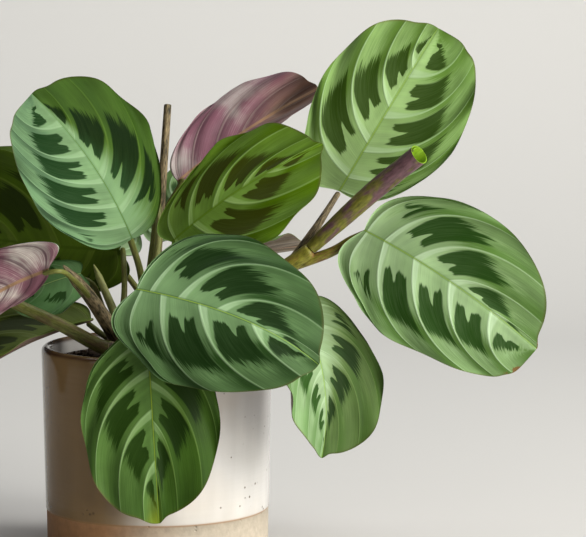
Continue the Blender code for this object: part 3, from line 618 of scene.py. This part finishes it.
growLeaf("small_left", {
    "base": (-0.0428, 0.001, 0.16), "tip": (-0.0836, -0.008, 0.1445), "face": (0.0, -0.75, 0.65),
    "halves": (0.0215, 0.013), "arch": 0.003, "fold": (2, 30), "curl": (-6, 10), "wave": 0.001,
    "phase": 0.8, "veins": (3, 3), "seeds": (25, 1),
    "look": {"pale": (0.11, 0.23, 0.08), "outer": (0.07, 0.17, 0.05), "size": 0.45,
             "vein": (0.16, 0.29, 0.12), "rib": (0.3, 0.43, 0.14)},
})
growLeaf("far_left", {
    "base": (-0.131, -0.031, 0.164), "tip": (-0.201, -0.06, 0.12), "face": (-0.4, -0.4, 0.8),
    "halves": (0.042, 0.042), "arch": 0.008, "fold": (6, 6), "phase": 1.9, "seeds": (27, 27),
})
growLeaf("back_right", {
    "base": (0.016, 0.048, 0.153), "tip": (0.084, 0.07, 0.169), "face": (0.0, 0.34, 0.94),
    "halves": (0.031, 0.031), "lobe": (0.11, 0.11), "point": (0.9, 0.9), "arch": 0.004, "seeds": (29, 29),
    "curl": (-6, -6), "phase": 0.7,
    "under": {"purple": (0.17, 0.13, 0.08), "silver": (0.28, 0.24, 0.18)},
})
growLeaf("back_upper", {
    "base": (0.01, 0.06, 0.175), "tip": (0.04, 0.13, 0.215), "face": (-0.2, -0.3, 0.93),
    "halves": (0.04, 0.04), "point": (0.8, 0.8), "curl": (-8, -8), "phase": 2.2, "seeds": (31, 31),
})
growLeaf("back_left", {
    "base": (-0.03, 0.055, 0.165), "tip": (-0.085, 0.125, 0.185), "face": (-0.2, 0.1, 0.97),
    "halves": (0.04, 0.04), "arch": 0.008, "phase": 0.3, "seeds": (33, 33),
})
growLeaf("back_hanging", {
    "base": (0.006, 0.076, 0.134), "tip": (0.012, 0.098, 0.042), "face": (0.0, 0.97, 0.22),
    "halves": (0.039, 0.039), "point": (0.9, 0.9), "arch": 0.005, "curl": (-14, -14), "phase": 1.2,
    "seeds": (35, 35),
})

# the soil's surface, which the shoots stand in

soilForm = {
    "low": 0.1, "edge": 0.0593, "top": 0.1115, "crown": 0.003, "bumps": 0.0007, "bumpLength": 0.016,
    "swellLength": 0.03, "clods": ((0.3, 160, 0.0006), (0.7, 420, 0.0004)), "rings": 44, "sides": 150,
    "crumbs": 320, "crumbReach": 0.95, "crumbSize": 0.0006, "crumbSpread": 0.0016, "seed": 4,
    "dark": (0.022, 0.014, 0.009), "light": (0.09, 0.06, 0.038), "roughness": 0.95,
    "coarse": 240.0, "fine": 900.0, "relief": 0.0012,
}


def soilHeight(x, y):
    form = soilForm
    reach = math.hypot(x, y) / form["edge"]
    turn = 2 * math.pi / form["bumpLength"]
    small = math.sin(turn * x + 1) * math.sin(turn * y)
    broad = math.sin(2 * math.pi * (x - y) / form["swellLength"]) / 2
    return form["top"] + form["crown"] * (1 - reach**2) + form["bumps"] * (small + broad) * (1 - reach**6)


# stalks and sheaths

stalkPattern = {
    "streaks": (9.0, 0.8), "fibres": (30.0, 3.0),   # noise cells round the stalk, and for each cm
    "cloud": 90.0, "brown": (0.25, 0.75), "flecks": (0.24, 0.34), "roughness": 0.45, "relief": 0.0003,
}


def paintStalk(name, look):
    form = stalkPattern
    roughness = look.get("roughness", form["roughness"])
    finish = Finish(name, roughness)
    around, along = finish.readUv("grain")      # turns round the stalk, and cm along it
    age, _ = finish.readUv("age")               # 0 at the foot, 1 at the far end
    streak = finish.streaks(around, along, form["streaks"], look["seed"], 3.0)
    fine = finish.streaks(around, along, form["fibres"], look["seed"] + 4)
    cloud = finish.swing(finish.place(), form["cloud"])
    share = streak * 2.0 + cloud * 1.2 + look.get("share", 0.5) - age * look["youth"]
    colour = finish.mix(share.rise(*form["brown"]), look["green"], look["brown"])
    colour = finish.shade(colour, (fine * 0.9 + streak * 0.8) * look.get("contrast", 1.0) + 1.0)
    colour = finish.mix((cloud * 0.6 + fine).rise(*form["flecks"]) * 0.5, colour, look["fleck"])
    return finish.done(colour, fine * 0.3 + roughness, streak * 0.6 + fine * 0.5, form["relief"])


oliveStalk = paintStalk("olive_stalk", {
    "seed": 2.0, "green": (0.145, 0.16, 0.036), "brown": (0.105, 0.08, 0.032),
    "fleck": (0.055, 0.04, 0.02), "youth": 0.5, "contrast": 1.8,
})
redStalk = paintStalk("reddish_stalk", {
    "seed": 6.0, "green": (0.19, 0.185, 0.024), "brown": (0.13, 0.066, 0.026),
    "fleck": (0.06, 0.03, 0.02), "youth": 0.2, "contrast": 2.2,
})
drySheath = paintStalk("dry_sheath", {
    "seed": 8.0, "green": (0.085, 0.075, 0.034), "brown": (0.16, 0.125, 0.066),
    "fleck": (0.04, 0.028, 0.016), "youth": -0.3, "roughness": 0.6, "contrast": 4.5,
})
paleSheath = paintStalk("pale_sheath", {
    "seed": 12.0, "green": (0.25, 0.27, 0.09), "brown": (0.2, 0.18, 0.07),
    "fleck": (0.11, 0.09, 0.04), "youth": 0.6,
})
stalkFinishes = [oliveStalk, redStalk, drySheath, paleSheath]

tubeForm = {
    "sides": 16, "step": 0.003, "taper": 4.0, "swell": 0.12, "swellLength": 0.006,
    "caps": (0.25, 0.5, 0.75, 0.92),            # the rings of an end, as shares of its length
    "gap": 0.00045, "underBlade": 0.00095, "pastBase": 0.002,
}


def drawTube(path, radii, tip="round", swell=0.0):
    # points, faces and UV pairs of one closed stalk
    form = tubeForm
    path = smoothPath(path, form["step"])
    sides = form["sides"]
    tangents, across, up = carriedFrames(path)
    run = runAlong(path)
    share = run / run[-1]
    radius = radii[0] + (radii[1] - radii[0]) * share
    radius = radius * (1 + swell * np.exp(-(((run[-1] - run) / form["swellLength"]) ** 2)))
    reach = (form["taper"] if tip == "pointed" else 1.0) * radii[1]
    caps = np.array(form["caps"])
    shapes = {"round": np.sqrt(1 - caps**2), "cut": (1 - caps**8) ** 0.5, "pointed": (1 - caps) ** 0.7}
    centres = np.vstack([path, path[-1] + tangents[-1] * reach * caps[:, None]])
    across, up = [np.vstack([axes, np.repeat(axes[-1:], len(caps), 0)]) for axes in (across, up)]
    radius = np.append(radius, radius[-1] * shapes[tip])
    run = np.append(run, run[-1] + reach * caps)
    share = np.append(share, np.ones(len(caps)))
    turn = 2 * np.pi * np.arange(sides) / sides
    ring = np.cos(turn)[None, :, None] * across[:, None] + np.sin(turn)[None, :, None] * up[:, None]
    points = (centres[:, None] + ring * radius[:, None, None]).reshape(-1, 3)
    foot, end = path[0] - tangents[0] * radii[0] * 0.5, path[-1] + tangents[-1] * reach
    points = np.vstack([points, foot, end])
    first, last, rings = len(points) - 2, len(points) - 1, len(centres)
    faces = ringFaces(rings, sides) + fanFaces(first, 0, sides, down=True)
    faces += fanFaces(last, (rings - 1) * sides, sides)
    turns = [(s / sides, (s + 1) / sides) for s in range(sides)]
    cm = run * 100
    grain, ages = [], []
    for r in range(rings - 1):
        ages += [(share[r], 0), (share[r], 0), (share[r + 1], 0), (share[r + 1], 0)] * sides
        for left, right in turns:
            grain += [(left, cm[r]), (right, cm[r]), (right, cm[r + 1]), (left, cm[r + 1])]
    for left, right in turns:
        grain += [(left, 0), (right, 0), (left, 0)]
    for left, right in turns:
        grain += [(left, cm[-1]), (left, cm[-1]), (right, cm[-1])]
    return points, faces, grain, ages + [(0, 0)] * 3 * sides + [(1, 0)] * 3 * sides


def stalkEnd(leaf, radius):
    place, tangent, normal, _ = midribFrames(leaf, np.zeros(1))
    clear = radius + tubeForm["gap"]
    if leaf["meets"] == "notch":
        return place[0] - tangent[0] * clear - normal[0] * bladeForm["rib"] / 2
    return place[0] - normal[0] * (clear + tubeForm["underBlade"]) + tangent[0] * tubeForm["pastBase"]


crownForm = {"depth": 0.012, "height": 0.0075, "taper": 0.92, "rootHeight": 0.0085}


def growShoot(node, shoot):
    foot, radius = shoot["foot"], shoot["radius"]
    ground = soilHeight(*foot)
    root = (*foot, ground + crownForm["rootHeight"])
    crown = [(*foot, ground + rise) for rise in (-crownForm["depth"], 0.0, crownForm["height"])]
    parts = [(drawTube(crown, (radius, radius * crownForm["taper"])), drySheath)]
    for stalk in shoot["stalks"]:
        end = stalkEnd(leaves[stalk["leaf"]], stalk["radii"][1])
        tube = drawTube((stalk.get("fork", root), *stalk["by"], end), stalk["radii"], swell=tubeForm["swell"])
        parts.append((tube, stalk.get("finish", oliveStalk)))
    for sheath in shoot.get("sheaths", ()):
        tube = drawTube((root, *sheath["by"]), sheath["radii"], sheath.get("end", "pointed"))
        parts.append((tube, sheath.get("finish", drySheath)))
    points, faces, grain, ages, kinds = [], [], [], [], []
    for (p, f, g, a), finish in parts:
        faces += [tuple(i + len(points) for i in face) for face in f]
        points += list(p)
        grain += g
        ages += a
        kinds += [stalkFinishes.index(finish)] * len(f)
    piece = makePiece(node + "_stalks", points, faces, stalkFinishes, kinds, {"grain": grain, "age": ages})
    standFor(piece, node)


print("growing the shoots")
growShoot("shoot_left", {
    "foot": (-0.0225, -0.003), "radius": 0.0062,
    "stalks": [
        {"leaf": "folded_left", "radii": (0.0022, 0.0012),
         "by": ((-0.0342, -0.031, 0.1487), (-0.044, -0.05, 0.1635), (-0.049, -0.065, 0.1685))},
        {"leaf": "left", "radii": (0.002, 0.0014),
         "by": ((-0.019, 0.008, 0.145), (-0.0195, 0.018, 0.164))},
        {"leaf": "low_left", "radii": (0.002, 0.0014), "by": ((-0.029, 0.001, 0.124),)},
        {"leaf": "small_left", "radii": (0.0018, 0.0013),
         "by": ((-0.03, -0.001, 0.14), (-0.036, 0.0005, 0.154))},
    ],
    "sheaths": [
        {"radii": (0.005, 0.0034),
         "by": ((-0.0222, -0.014, 0.1264), (-0.0342, -0.03, 0.1487), (-0.042, -0.0375, 0.16))},
        {"radii": (0.0028, 0.002), "finish": paleSheath,
         "by": ((-0.0228, -0.004, 0.1353), (-0.0323, -0.002, 0.1583))},
    ],
})
growShoot("shoot_low_left", {
    "foot": (-0.024, -0.0285), "radius": 0.0055,
    "stalks": [
        {"leaf": "far_left", "radii": (0.0042, 0.002),
         "by": ((-0.0301, -0.029, 0.1228), (-0.0519, -0.031, 0.135), (-0.0788, -0.027, 0.1468),
                (-0.107, -0.028, 0.158))},
    ],
})
growShoot("shoot_centre", {
    "foot": (-0.004, 0.012), "radius": 0.006,
    "stalks": [
        {"leaf": "upper_left", "radii": (0.0026, 0.0017),
         "by": ((-0.006, -0.006, 0.14), (-0.0078, -0.024, 0.164))},
        {"leaf": "upper_middle", "radii": (0.0024, 0.0017),
         "by": ((0.001, 0.002, 0.138), (0.0058, -0.0115, 0.152))},
        {"leaf": "furled_top", "radii": (0.0022, 0.0015),
         "by": ((-0.001, 0.01, 0.16), (0.003, 0.011, 0.19))},
    ],
    "sheaths": [
        {"radii": (0.0042, 0.003), "finish": oliveStalk,
         "by": ((-0.0037, 0.009, 0.15), (0.0003, 0.009, 0.1872), (-0.001, 0.009, 0.203))},
        {"radii": (0.003, 0.0021), "end": "cut",
         "by": ((-0.001, 0.01, 0.16), (0.0022, 0.01, 0.199), (0.0062, 0.01, 0.253))},
        {"radii": (0.0022, 0.0013), "finish": paleSheath,
         "by": ((-0.002, 0.005, 0.155), (0.0012, 0.001, 0.185), (-0.0002, 0.0, 0.208))},
    ],
})
fork = (0.0745, -0.019, 0.166)
growShoot("shoot_right", {
    "foot": (0.016, 0.0), "radius": 0.0065,
    "stalks": [
        {"leaf": "hanging_right", "radii": (0.0022, 0.0016), "finish": redStalk,
         "by": ((0.033, -0.013, 0.136), (0.061, -0.028, 0.152))},
        {"leaf": "right", "radii": (0.0034, 0.0021), "fork": fork, "finish": redStalk,
         "by": ((0.0974, -0.0225, 0.1742), (0.1095, -0.0235, 0.1815))},
        {"leaf": "upper_right", "radii": (0.0032, 0.0014), "fork": fork, "finish": drySheath,
         "by": ((0.089, -0.013, 0.186), (0.098, -0.003, 0.199))},
    ],
    "sheaths": [
        {"radii": (0.0052, 0.0046), "end": "cut", "finish": redStalk,
         "by": ((0.038, -0.012, 0.143), (0.0669, -0.018, 0.1612), (0.0838, -0.0212, 0.1732))},
    ],
})
growShoot("shoot_front", {
    "foot": (-0.003, -0.022), "radius": 0.0055,
    "stalks": [
        {"leaf": "front", "radii": (0.0024, 0.0017),
         "by": ((-0.005, -0.033, 0.138), (-0.008, -0.056, 0.153))},
        {"leaf": "hanging_front", "radii": (0.0022, 0.0016),
         "by": ((-0.004, -0.03, 0.129), (-0.004, -0.052, 0.135))},
    ],
})
growShoot("shoot_back", {
    "foot": (0.005, 0.034), "radius": 0.0055,
    "stalks": [
        {"leaf": "back_right", "radii": (0.002, 0.0014), "by": ((0.006, 0.035, 0.133),)},
        {"leaf": "back_upper", "radii": (0.0024, 0.0016),
         "by": ((0.006, 0.04, 0.135), (0.008, 0.05, 0.158))},
        {"leaf": "back_left", "radii": (0.0022, 0.0015),
         "by": ((-0.006, 0.04, 0.136), (-0.02, 0.048, 0.154))},
        {"leaf": "back_hanging", "radii": (0.0022, 0.0015),
         "by": ((0.006, 0.043, 0.13), (0.006, 0.06, 0.137))},
    ],
})

# the new leaf that is still rolled: a spiral sheet that widens to an open slanting mouth
rolledLeaf = {
    "path": ((0.0873, -0.0221, 0.1766), (0.099, -0.025, 0.188),
             (0.1235, -0.03, 0.2105), (0.1462, -0.0344, 0.2292)),
    "radii": (0.0042, 0.005, 0.0056, 0.006, 0.0062, 0.0061, 0.0063), "turns": 1.3, "pitch": 0.0013,
    "thickness": 0.0005, "slant": 0.0022, "slantAngle": -0.1, "slantStart": 6, "rings": 48, "sides": 44,
    "step": 0.001, "grainLength": 7.0,
    "look": {"seed": 14.0, "green": (0.15, 0.15, 0.022), "brown": (0.098, 0.052, 0.06),
             "fleck": (0.04, 0.022, 0.026), "youth": -0.85, "share": 0.08, "contrast": 1.8},
    # the inside of the roll: painted shade, darker deeper in towards the foot and greener at the mouth
    "inside": {"seed": 15.0, "green": (0.2, 0.36, 0.015), "brown": (0.06, 0.13, 0.01),
               "fleck": (0.26, 0.42, 0.06), "youth": 0.3},
}


def rollLeaf(form):
    path = smoothPath(form["path"], form["step"])
    path = path[np.linspace(0, len(path) - 1, form["rings"]).round().astype(int)]
    tangents, across, up = carriedFrames(path)
    share = np.linspace(0, 1, len(path))
    radii = np.interp(share, np.linspace(0, 1, len(form["radii"])), form["radii"])
    steps = int(form["sides"] * form["turns"])
    wind = np.linspace(0, 2 * math.pi * form["turns"], steps + 1)
    points, corners = [], []
    for s, p, t, a, u, r in zip(share, path, tangents, across, up, radii):
        slant = form["slant"] * s ** form["slantStart"]
        for thickness, order in ((0.0, wind), (form["thickness"], wind[::-1])):
            for angle in order:
                inward = r - thickness - form["pitch"] * angle / (2 * math.pi)
                lean = slant * math.cos(angle - form["slantAngle"])
                points.append(p + inward * (math.cos(angle) * a + math.sin(angle) * u) + t * lean)
                corners.append(((angle / (2 * math.pi), s * form["grainLength"]), (s, 0)))
    loop = 2 * (steps + 1)
    faces = ringFaces(len(path), loop)
    kinds = [int(s > steps) for _ in range(len(path) - 1) for s in range(loop)]
    for start, flip in ((0, True), ((len(path) - 1) * loop, False)):
        for s in range(steps):
            quad = (start + s, start + s + 1, start + loop - 2 - s, start + loop - 1 - s)
            faces.append(quad[::-1] if flip else quad)
            kinds.append(0 if flip else 1)
    grain, ages = zip(*[corners[i] for face in faces for i in face])
    finishes = [paintStalk("rolled_leaf", form["look"]), paintStalk("rolled_leaf_inside", form["inside"])]
    piece = makePiece("rolled_leaf_sheet", points, faces, finishes, kinds, {"grain": grain, "age": ages})
    standFor(piece, "rolled_leaf")


rollLeaf(rolledLeaf)

print("turning the pot")
potForm = {
    "height": 0.12, "rim": 0.065, "glazeLine": 0.028, "glazeLineRadius": 0.0633, "glazeStep": 0.0004,
    "base": 0.0626, "chamfer": 0.0012, "wall": 0.0055, "floor": 0.007, "sides": 144,
    "glaze": (0.635, 0.63, 0.615), "glazeDark": (0.57, 0.54, 0.49), "line": (0.08, 0.038, 0.016),
    # the glaze and clay shade browns are painted shade for the -X side
    "glazeShadeBrown": (0.25, 0.16, 0.068), "clay": (0.415, 0.365, 0.29), "clayShadeBrown": (0.38, 0.2, 0.09),
    "glazeEdge": (0.33, 0.19, 0.085), "pinhole": (0.13, 0.085, 0.05), "roughness": 0.13,
    "shadeSide": (-0.018, 0.032),        # where the painted shade, partly a browner firing, starts and is full, towards -X
    "cloud": 22.0, "grain": 260.0, "pinholes": 240.0, "pinholeSize": (0.1, 0.2), "relief": 0.0005,
    "rimBand": 0.0012, "rimBandWidth": 0.0011, "edgeWidth": 0.0006, "waver": 0.0006,
}


def paintPot(form):
    finish = Finish("cream_glaze", form["roughness"])
    place = finish.place()
    x, y, height = finish.split(place)
    outwards = (x * x + y * y).maths("SQRT")
    cloud = finish.swing(place, form["cloud"], 3.0)
    fine = finish.swing(place, form["grain"])
    # painted shade: the -X side of the pot is darker and browner, glaze and clay alike, but not inside;
    # mostly the shade on that side, partly a browner firing
    paintedShade = (0.0 - x + cloud * 0.03).rise(*form["shadeSide"])
    paintedShade = paintedShade * outwards.rise(form["rim"] - form["wall"], form["rim"] - 0.004)
    distance = finish.node("TexVoronoi", {"Scale": form["pinholes"], "Vector": place}, "Distance")
    holes = (1.0 - distance.rise(*form["pinholeSize"])) * finish.grain(place, 70.0, 1.0).rise(0.56, 0.66)
    # the glaze takes the painted shade brown on the -X side
    colour = finish.layers(form["glaze"], ((cloud * 2.2 + 0.35).rise(0.0, 1.0), form["glazeDark"]),
                           (paintedShade, form["glazeShadeBrown"]), (holes * 0.8, form["pinhole"]))
    streaks = finish.swing(finish.axes(x * 9.0, y * 9.0, height * 1.2), 9.0, 3.0)
    colour = finish.shade(colour, streaks * 0.3 + cloud * 0.2 + 1.0)
    # the glaze thins to brown on the rim's edge and where it ends over the bare clay
    rimLine = (height - (form["height"] - form["rimBand"]) + cloud * 0.0008).bell(form["rimBandWidth"])
    edge = (height - form["glazeLine"] + cloud * form["waver"]).bell(form["edgeWidth"])
    bare = (height + cloud * form["waver"]).rise(form["glazeLine"] - 0.0006, form["glazeLine"] - 0.0002)
    bare = (1.0 - bare) * outwards.rise(form["base"] - 0.004, form["base"] - 0.003)
    # the bare clay takes the painted shade on the -X side too
    clay = finish.mix(paintedShade, form["clay"], form["clayShadeBrown"])
    clay = finish.shade(clay, fine * 0.5 + cloud * 0.4 + 1.0)
    colour = finish.layers(colour, (rimLine * 0.85, form["line"]), (bare, clay),
                           (edge * 0.85, form["glazeEdge"]))
    rings = finish.swing(finish.axes(0.0, 0.0, height * 320.0))
    relief = rings * 0.25 + fine * (bare + 0.15) * 0.6 - holes * 0.8 + cloud * 0.4
    return finish.done(colour, bare * 0.5 + fine * 0.06 + form["roughness"], relief, form["relief"])


def turnPot(form):
    sides, base, floor = form["sides"], form["base"], form["floor"]
    profile = [(0.0, 0.0), (base - form["chamfer"], 0.0), (base - 0.0003, 0.0003), (base, form["chamfer"])]
    foot = np.array((base, form["chamfer"]))
    line = np.array((form["glazeLineRadius"] - form["glazeStep"], form["glazeLine"] - form["glazeStep"]))
    profile += [tuple(foot + (line - foot) * t) for t in (0.25, 0.5, 0.75, 1.0)]
    profile += [(form["glazeLineRadius"] - 0.0001, form["glazeLine"] - 0.0002)]
    lip = form["wall"] / 2
    low = np.array((form["glazeLineRadius"], form["glazeLine"]))
    high = np.array((form["rim"], form["height"] - lip))
    profile += [tuple(low + (high - low) * t) for t in np.linspace(0, 1, 14)]
    for t in np.radians(np.arange(15, 181, 15)):
        profile.append((form["rim"] - lip + lip * math.cos(t), form["height"] - lip + lip * math.sin(t)))
    innerRim, innerBase = form["rim"] - form["wall"], base - form["wall"]
    for t in np.linspace(0.1, 1.0, 9):
        z = form["height"] - lip + (floor + 0.005 - form["height"] + lip) * t
        profile.append((innerRim + (innerBase - innerRim) * t, z))
    profile += [(innerBase - 0.0015, floor + 0.0015), (innerBase - 0.005, floor), (0.0, floor)]
    points = [(0, 0, 0)]
    for r, z in profile[1:-1]:
        points += circle(r, z, sides)
    points.append((0, 0, floor))
    rings = len(profile) - 2
    faces = fanFaces(0, 1, sides, down=True) + ringFaces(rings, sides, 1)
    faces += fanFaces(len(points) - 1, 1 + (rings - 1) * sides, sides)
    standFor(makePiece("stoneware_pot", points, faces, [paintPot(form)], sharp=60), "pot")


turnPot(potForm)

print("filling in the soil")


def paintSoil(form):
    finish = Finish("potting_soil", form["roughness"])
    place = finish.place()
    coarse = finish.grain(place, form["coarse"], 4.0, 0.65)
    fine = finish.grain(place, form["fine"], 3.0, 0.6)
    colour = finish.mix((coarse * 0.7 + fine * 0.5 - 0.1).rise(0.3, 0.75), form["dark"], form["light"])
    return finish.done(colour, 1.0 - fine * 0.2, coarse + fine * 0.5, form["relief"])


# a crumb's twelve points, from its top down, and its faces
crumbPoints = np.array([
    (0, 0, 1), (0.9, 0, 0.4), (0.3, 0.85, 0.4), (-0.7, 0.5, 0.4), (-0.7, -0.5, 0.4), (0.3, -0.85, 0.4),
    (0.7, 0.5, -0.4), (-0.3, 0.85, -0.4), (-0.9, 0, -0.4), (-0.3, -0.85, -0.4), (0.7, -0.5, -0.4),
    (0, 0, -1)])
crumbFaces = fanFaces(0, 1, 5) + fanFaces(11, 6, 5, down=True)
for s in range(5):
    after = (s + 1) % 5
    crumbFaces += [(1 + s, 6 + s, 1 + after), (6 + s, 6 + after, 1 + after)]


def fillSoil(form):
    rings, sides, edge = form["rings"], form["sides"], form["edge"]
    points = circle(edge, form["low"], sides)
    for ring in range(rings):
        r = edge * (1 - ring / rings)
        for x, y, _ in circle(r, 0.0, sides):
            clod = sum(noise.noise(Vector((x, y, z)) * scale) * size for z, scale, size in form["clods"])
            points.append((x, y, soilHeight(x, y) + clod * (1 - (r / edge) ** 8) - 0.0002))
    points += [(0, 0, soilHeight(0, 0)), (0, 0, form["low"])]
    faces = ringFaces(rings + 1, sides) + fanFaces(len(points) - 2, rings * sides, sides)
    faces += fanFaces(len(points) - 1, 0, sides, down=True)
    chance = np.random.default_rng(form["seed"])
    for _ in range(form["crumbs"]):
        r, t = edge * form["crumbReach"] * math.sqrt(chance.random()), 2 * math.pi * chance.random()
        size = form["crumbSize"] + form["crumbSpread"] * chance.random() ** 2
        centre = np.array((r * math.cos(t), r * math.sin(t), 0))
        centre[2] = soilHeight(centre[0], centre[1]) + size * 0.2
        stretch = 0.6 + 0.8 * chance.random(3)
        shape = crumbPoints * stretch * (0.75 + 0.5 * chance.random((12, 1))) * size
        spin = 2 * math.pi * chance.random()
        shape[:, :2] = np.stack([shape[:, 0] * math.cos(spin) - shape[:, 1] * math.sin(spin),
                                 shape[:, 0] * math.sin(spin) + shape[:, 1] * math.cos(spin)], 1)
        faces += [tuple(i + len(points) for i in face) for face in crumbFaces]
        points += list(centre + shape)
    standFor(makePiece("potting_soil", points, faces, [paintSoil(form)], sharp=180), "soil")


fillSoil(soilForm)

print("setting up the floor, lights and camera")
stageForm = {
    "halfWidth": 6.0, "front": -6.0, "bendStart": 0.9, "bendRadius": 0.8, "bendEnd": 54, "bendStep": 6,
    "under": 0.0002, "colour": (0.65, 0.645, 0.625), "roughness": 0.9,
}


def layFloor(form):
    profile = [(form["front"], 0.0), (form["bendStart"], 0.0)]
    for turn in np.radians(np.arange(form["bendStep"], form["bendEnd"] + 1, form["bendStep"])):
        profile.append((form["bendStart"] + form["bendRadius"] * math.sin(turn),
                        form["bendRadius"] * (1 - math.cos(turn))))
    points = [(side * form["halfWidth"], y, z - form["under"]) for y, z in profile for side in (-1, 1)]
    faces = [(2 * i, 2 * i + 1, 2 * i + 3, 2 * i + 2) for i in range(len(profile) - 1)]
    finish = Finish("plain_floor", form["roughness"])
    finish.plug(form["colour"], finish.sockets["Base Color"])
    makePiece("floor", points, faces, [finish.material])


lightSettings = {
    "window": {"place": (1.5, -0.72, 0.85), "aim": (0.03, 0, 0.16), "size": (1.4, 1.2), "power": 50,
               "colour": (1.0, 0.97, 0.92)},
    "table bounce": {"place": (0.75, -0.85, 0.06), "aim": (0.03, 0, 0.08), "size": (0.7, 0.3), "power": 6.5,
                     "colour": (1.0, 0.95, 0.86)},
    "left fill": {"place": (-1.3, -0.7, 0.5), "aim": (0, 0, 0.12), "size": (0.16, 0.9), "power": 0.7,
                  "colour": (1.0, 0.94, 0.84)},
    "top": {"place": (0.0, 0.2, 1.9), "aim": (0, 0, 0.1), "size": (1.2, 1.2), "power": 6,
            "colour": (0.95, 0.98, 1.0)},
    "backdrop": {"place": (0.0, 0.6, 1.9), "aim": (0, 1.8, 0.4), "size": (2.5, 0.6), "power": 22,
                 "colour": (1.0, 0.99, 0.97)},
}
skySetting = {"colour": (0.9, 0.93, 1.0), "strength": 0.03}


def setLights(settings, skyForm):
    for name, light in settings.items():
        data = bpy.data.lights.new(name, "AREA")
        data.shape = "RECTANGLE"
        data.size, data.size_y = light["size"]
        data.energy = light["power"]
        data.color = light["colour"]
        lamp = addObject(name, data)
        lamp.location = light["place"]
        direction = Vector(light["aim"]) - Vector(light["place"])
        lamp.rotation_euler = direction.to_track_quat("-Z", "Y").to_euler()
    world = bpy.data.worlds.new("studio")
    world.use_nodes = True
    sky = world.node_tree.nodes["Background"]
    sky.inputs["Color"].default_value = (*skyForm["colour"], 1.0)
    sky.inputs["Strength"].default_value = skyForm["strength"]
    bpy.context.scene.world = world


layFloor(stageForm)
setLights(lightSettings, skySetting)
setCamera(cameraSetting)
bpy.context.scene.view_settings.view_transform = "Standard"
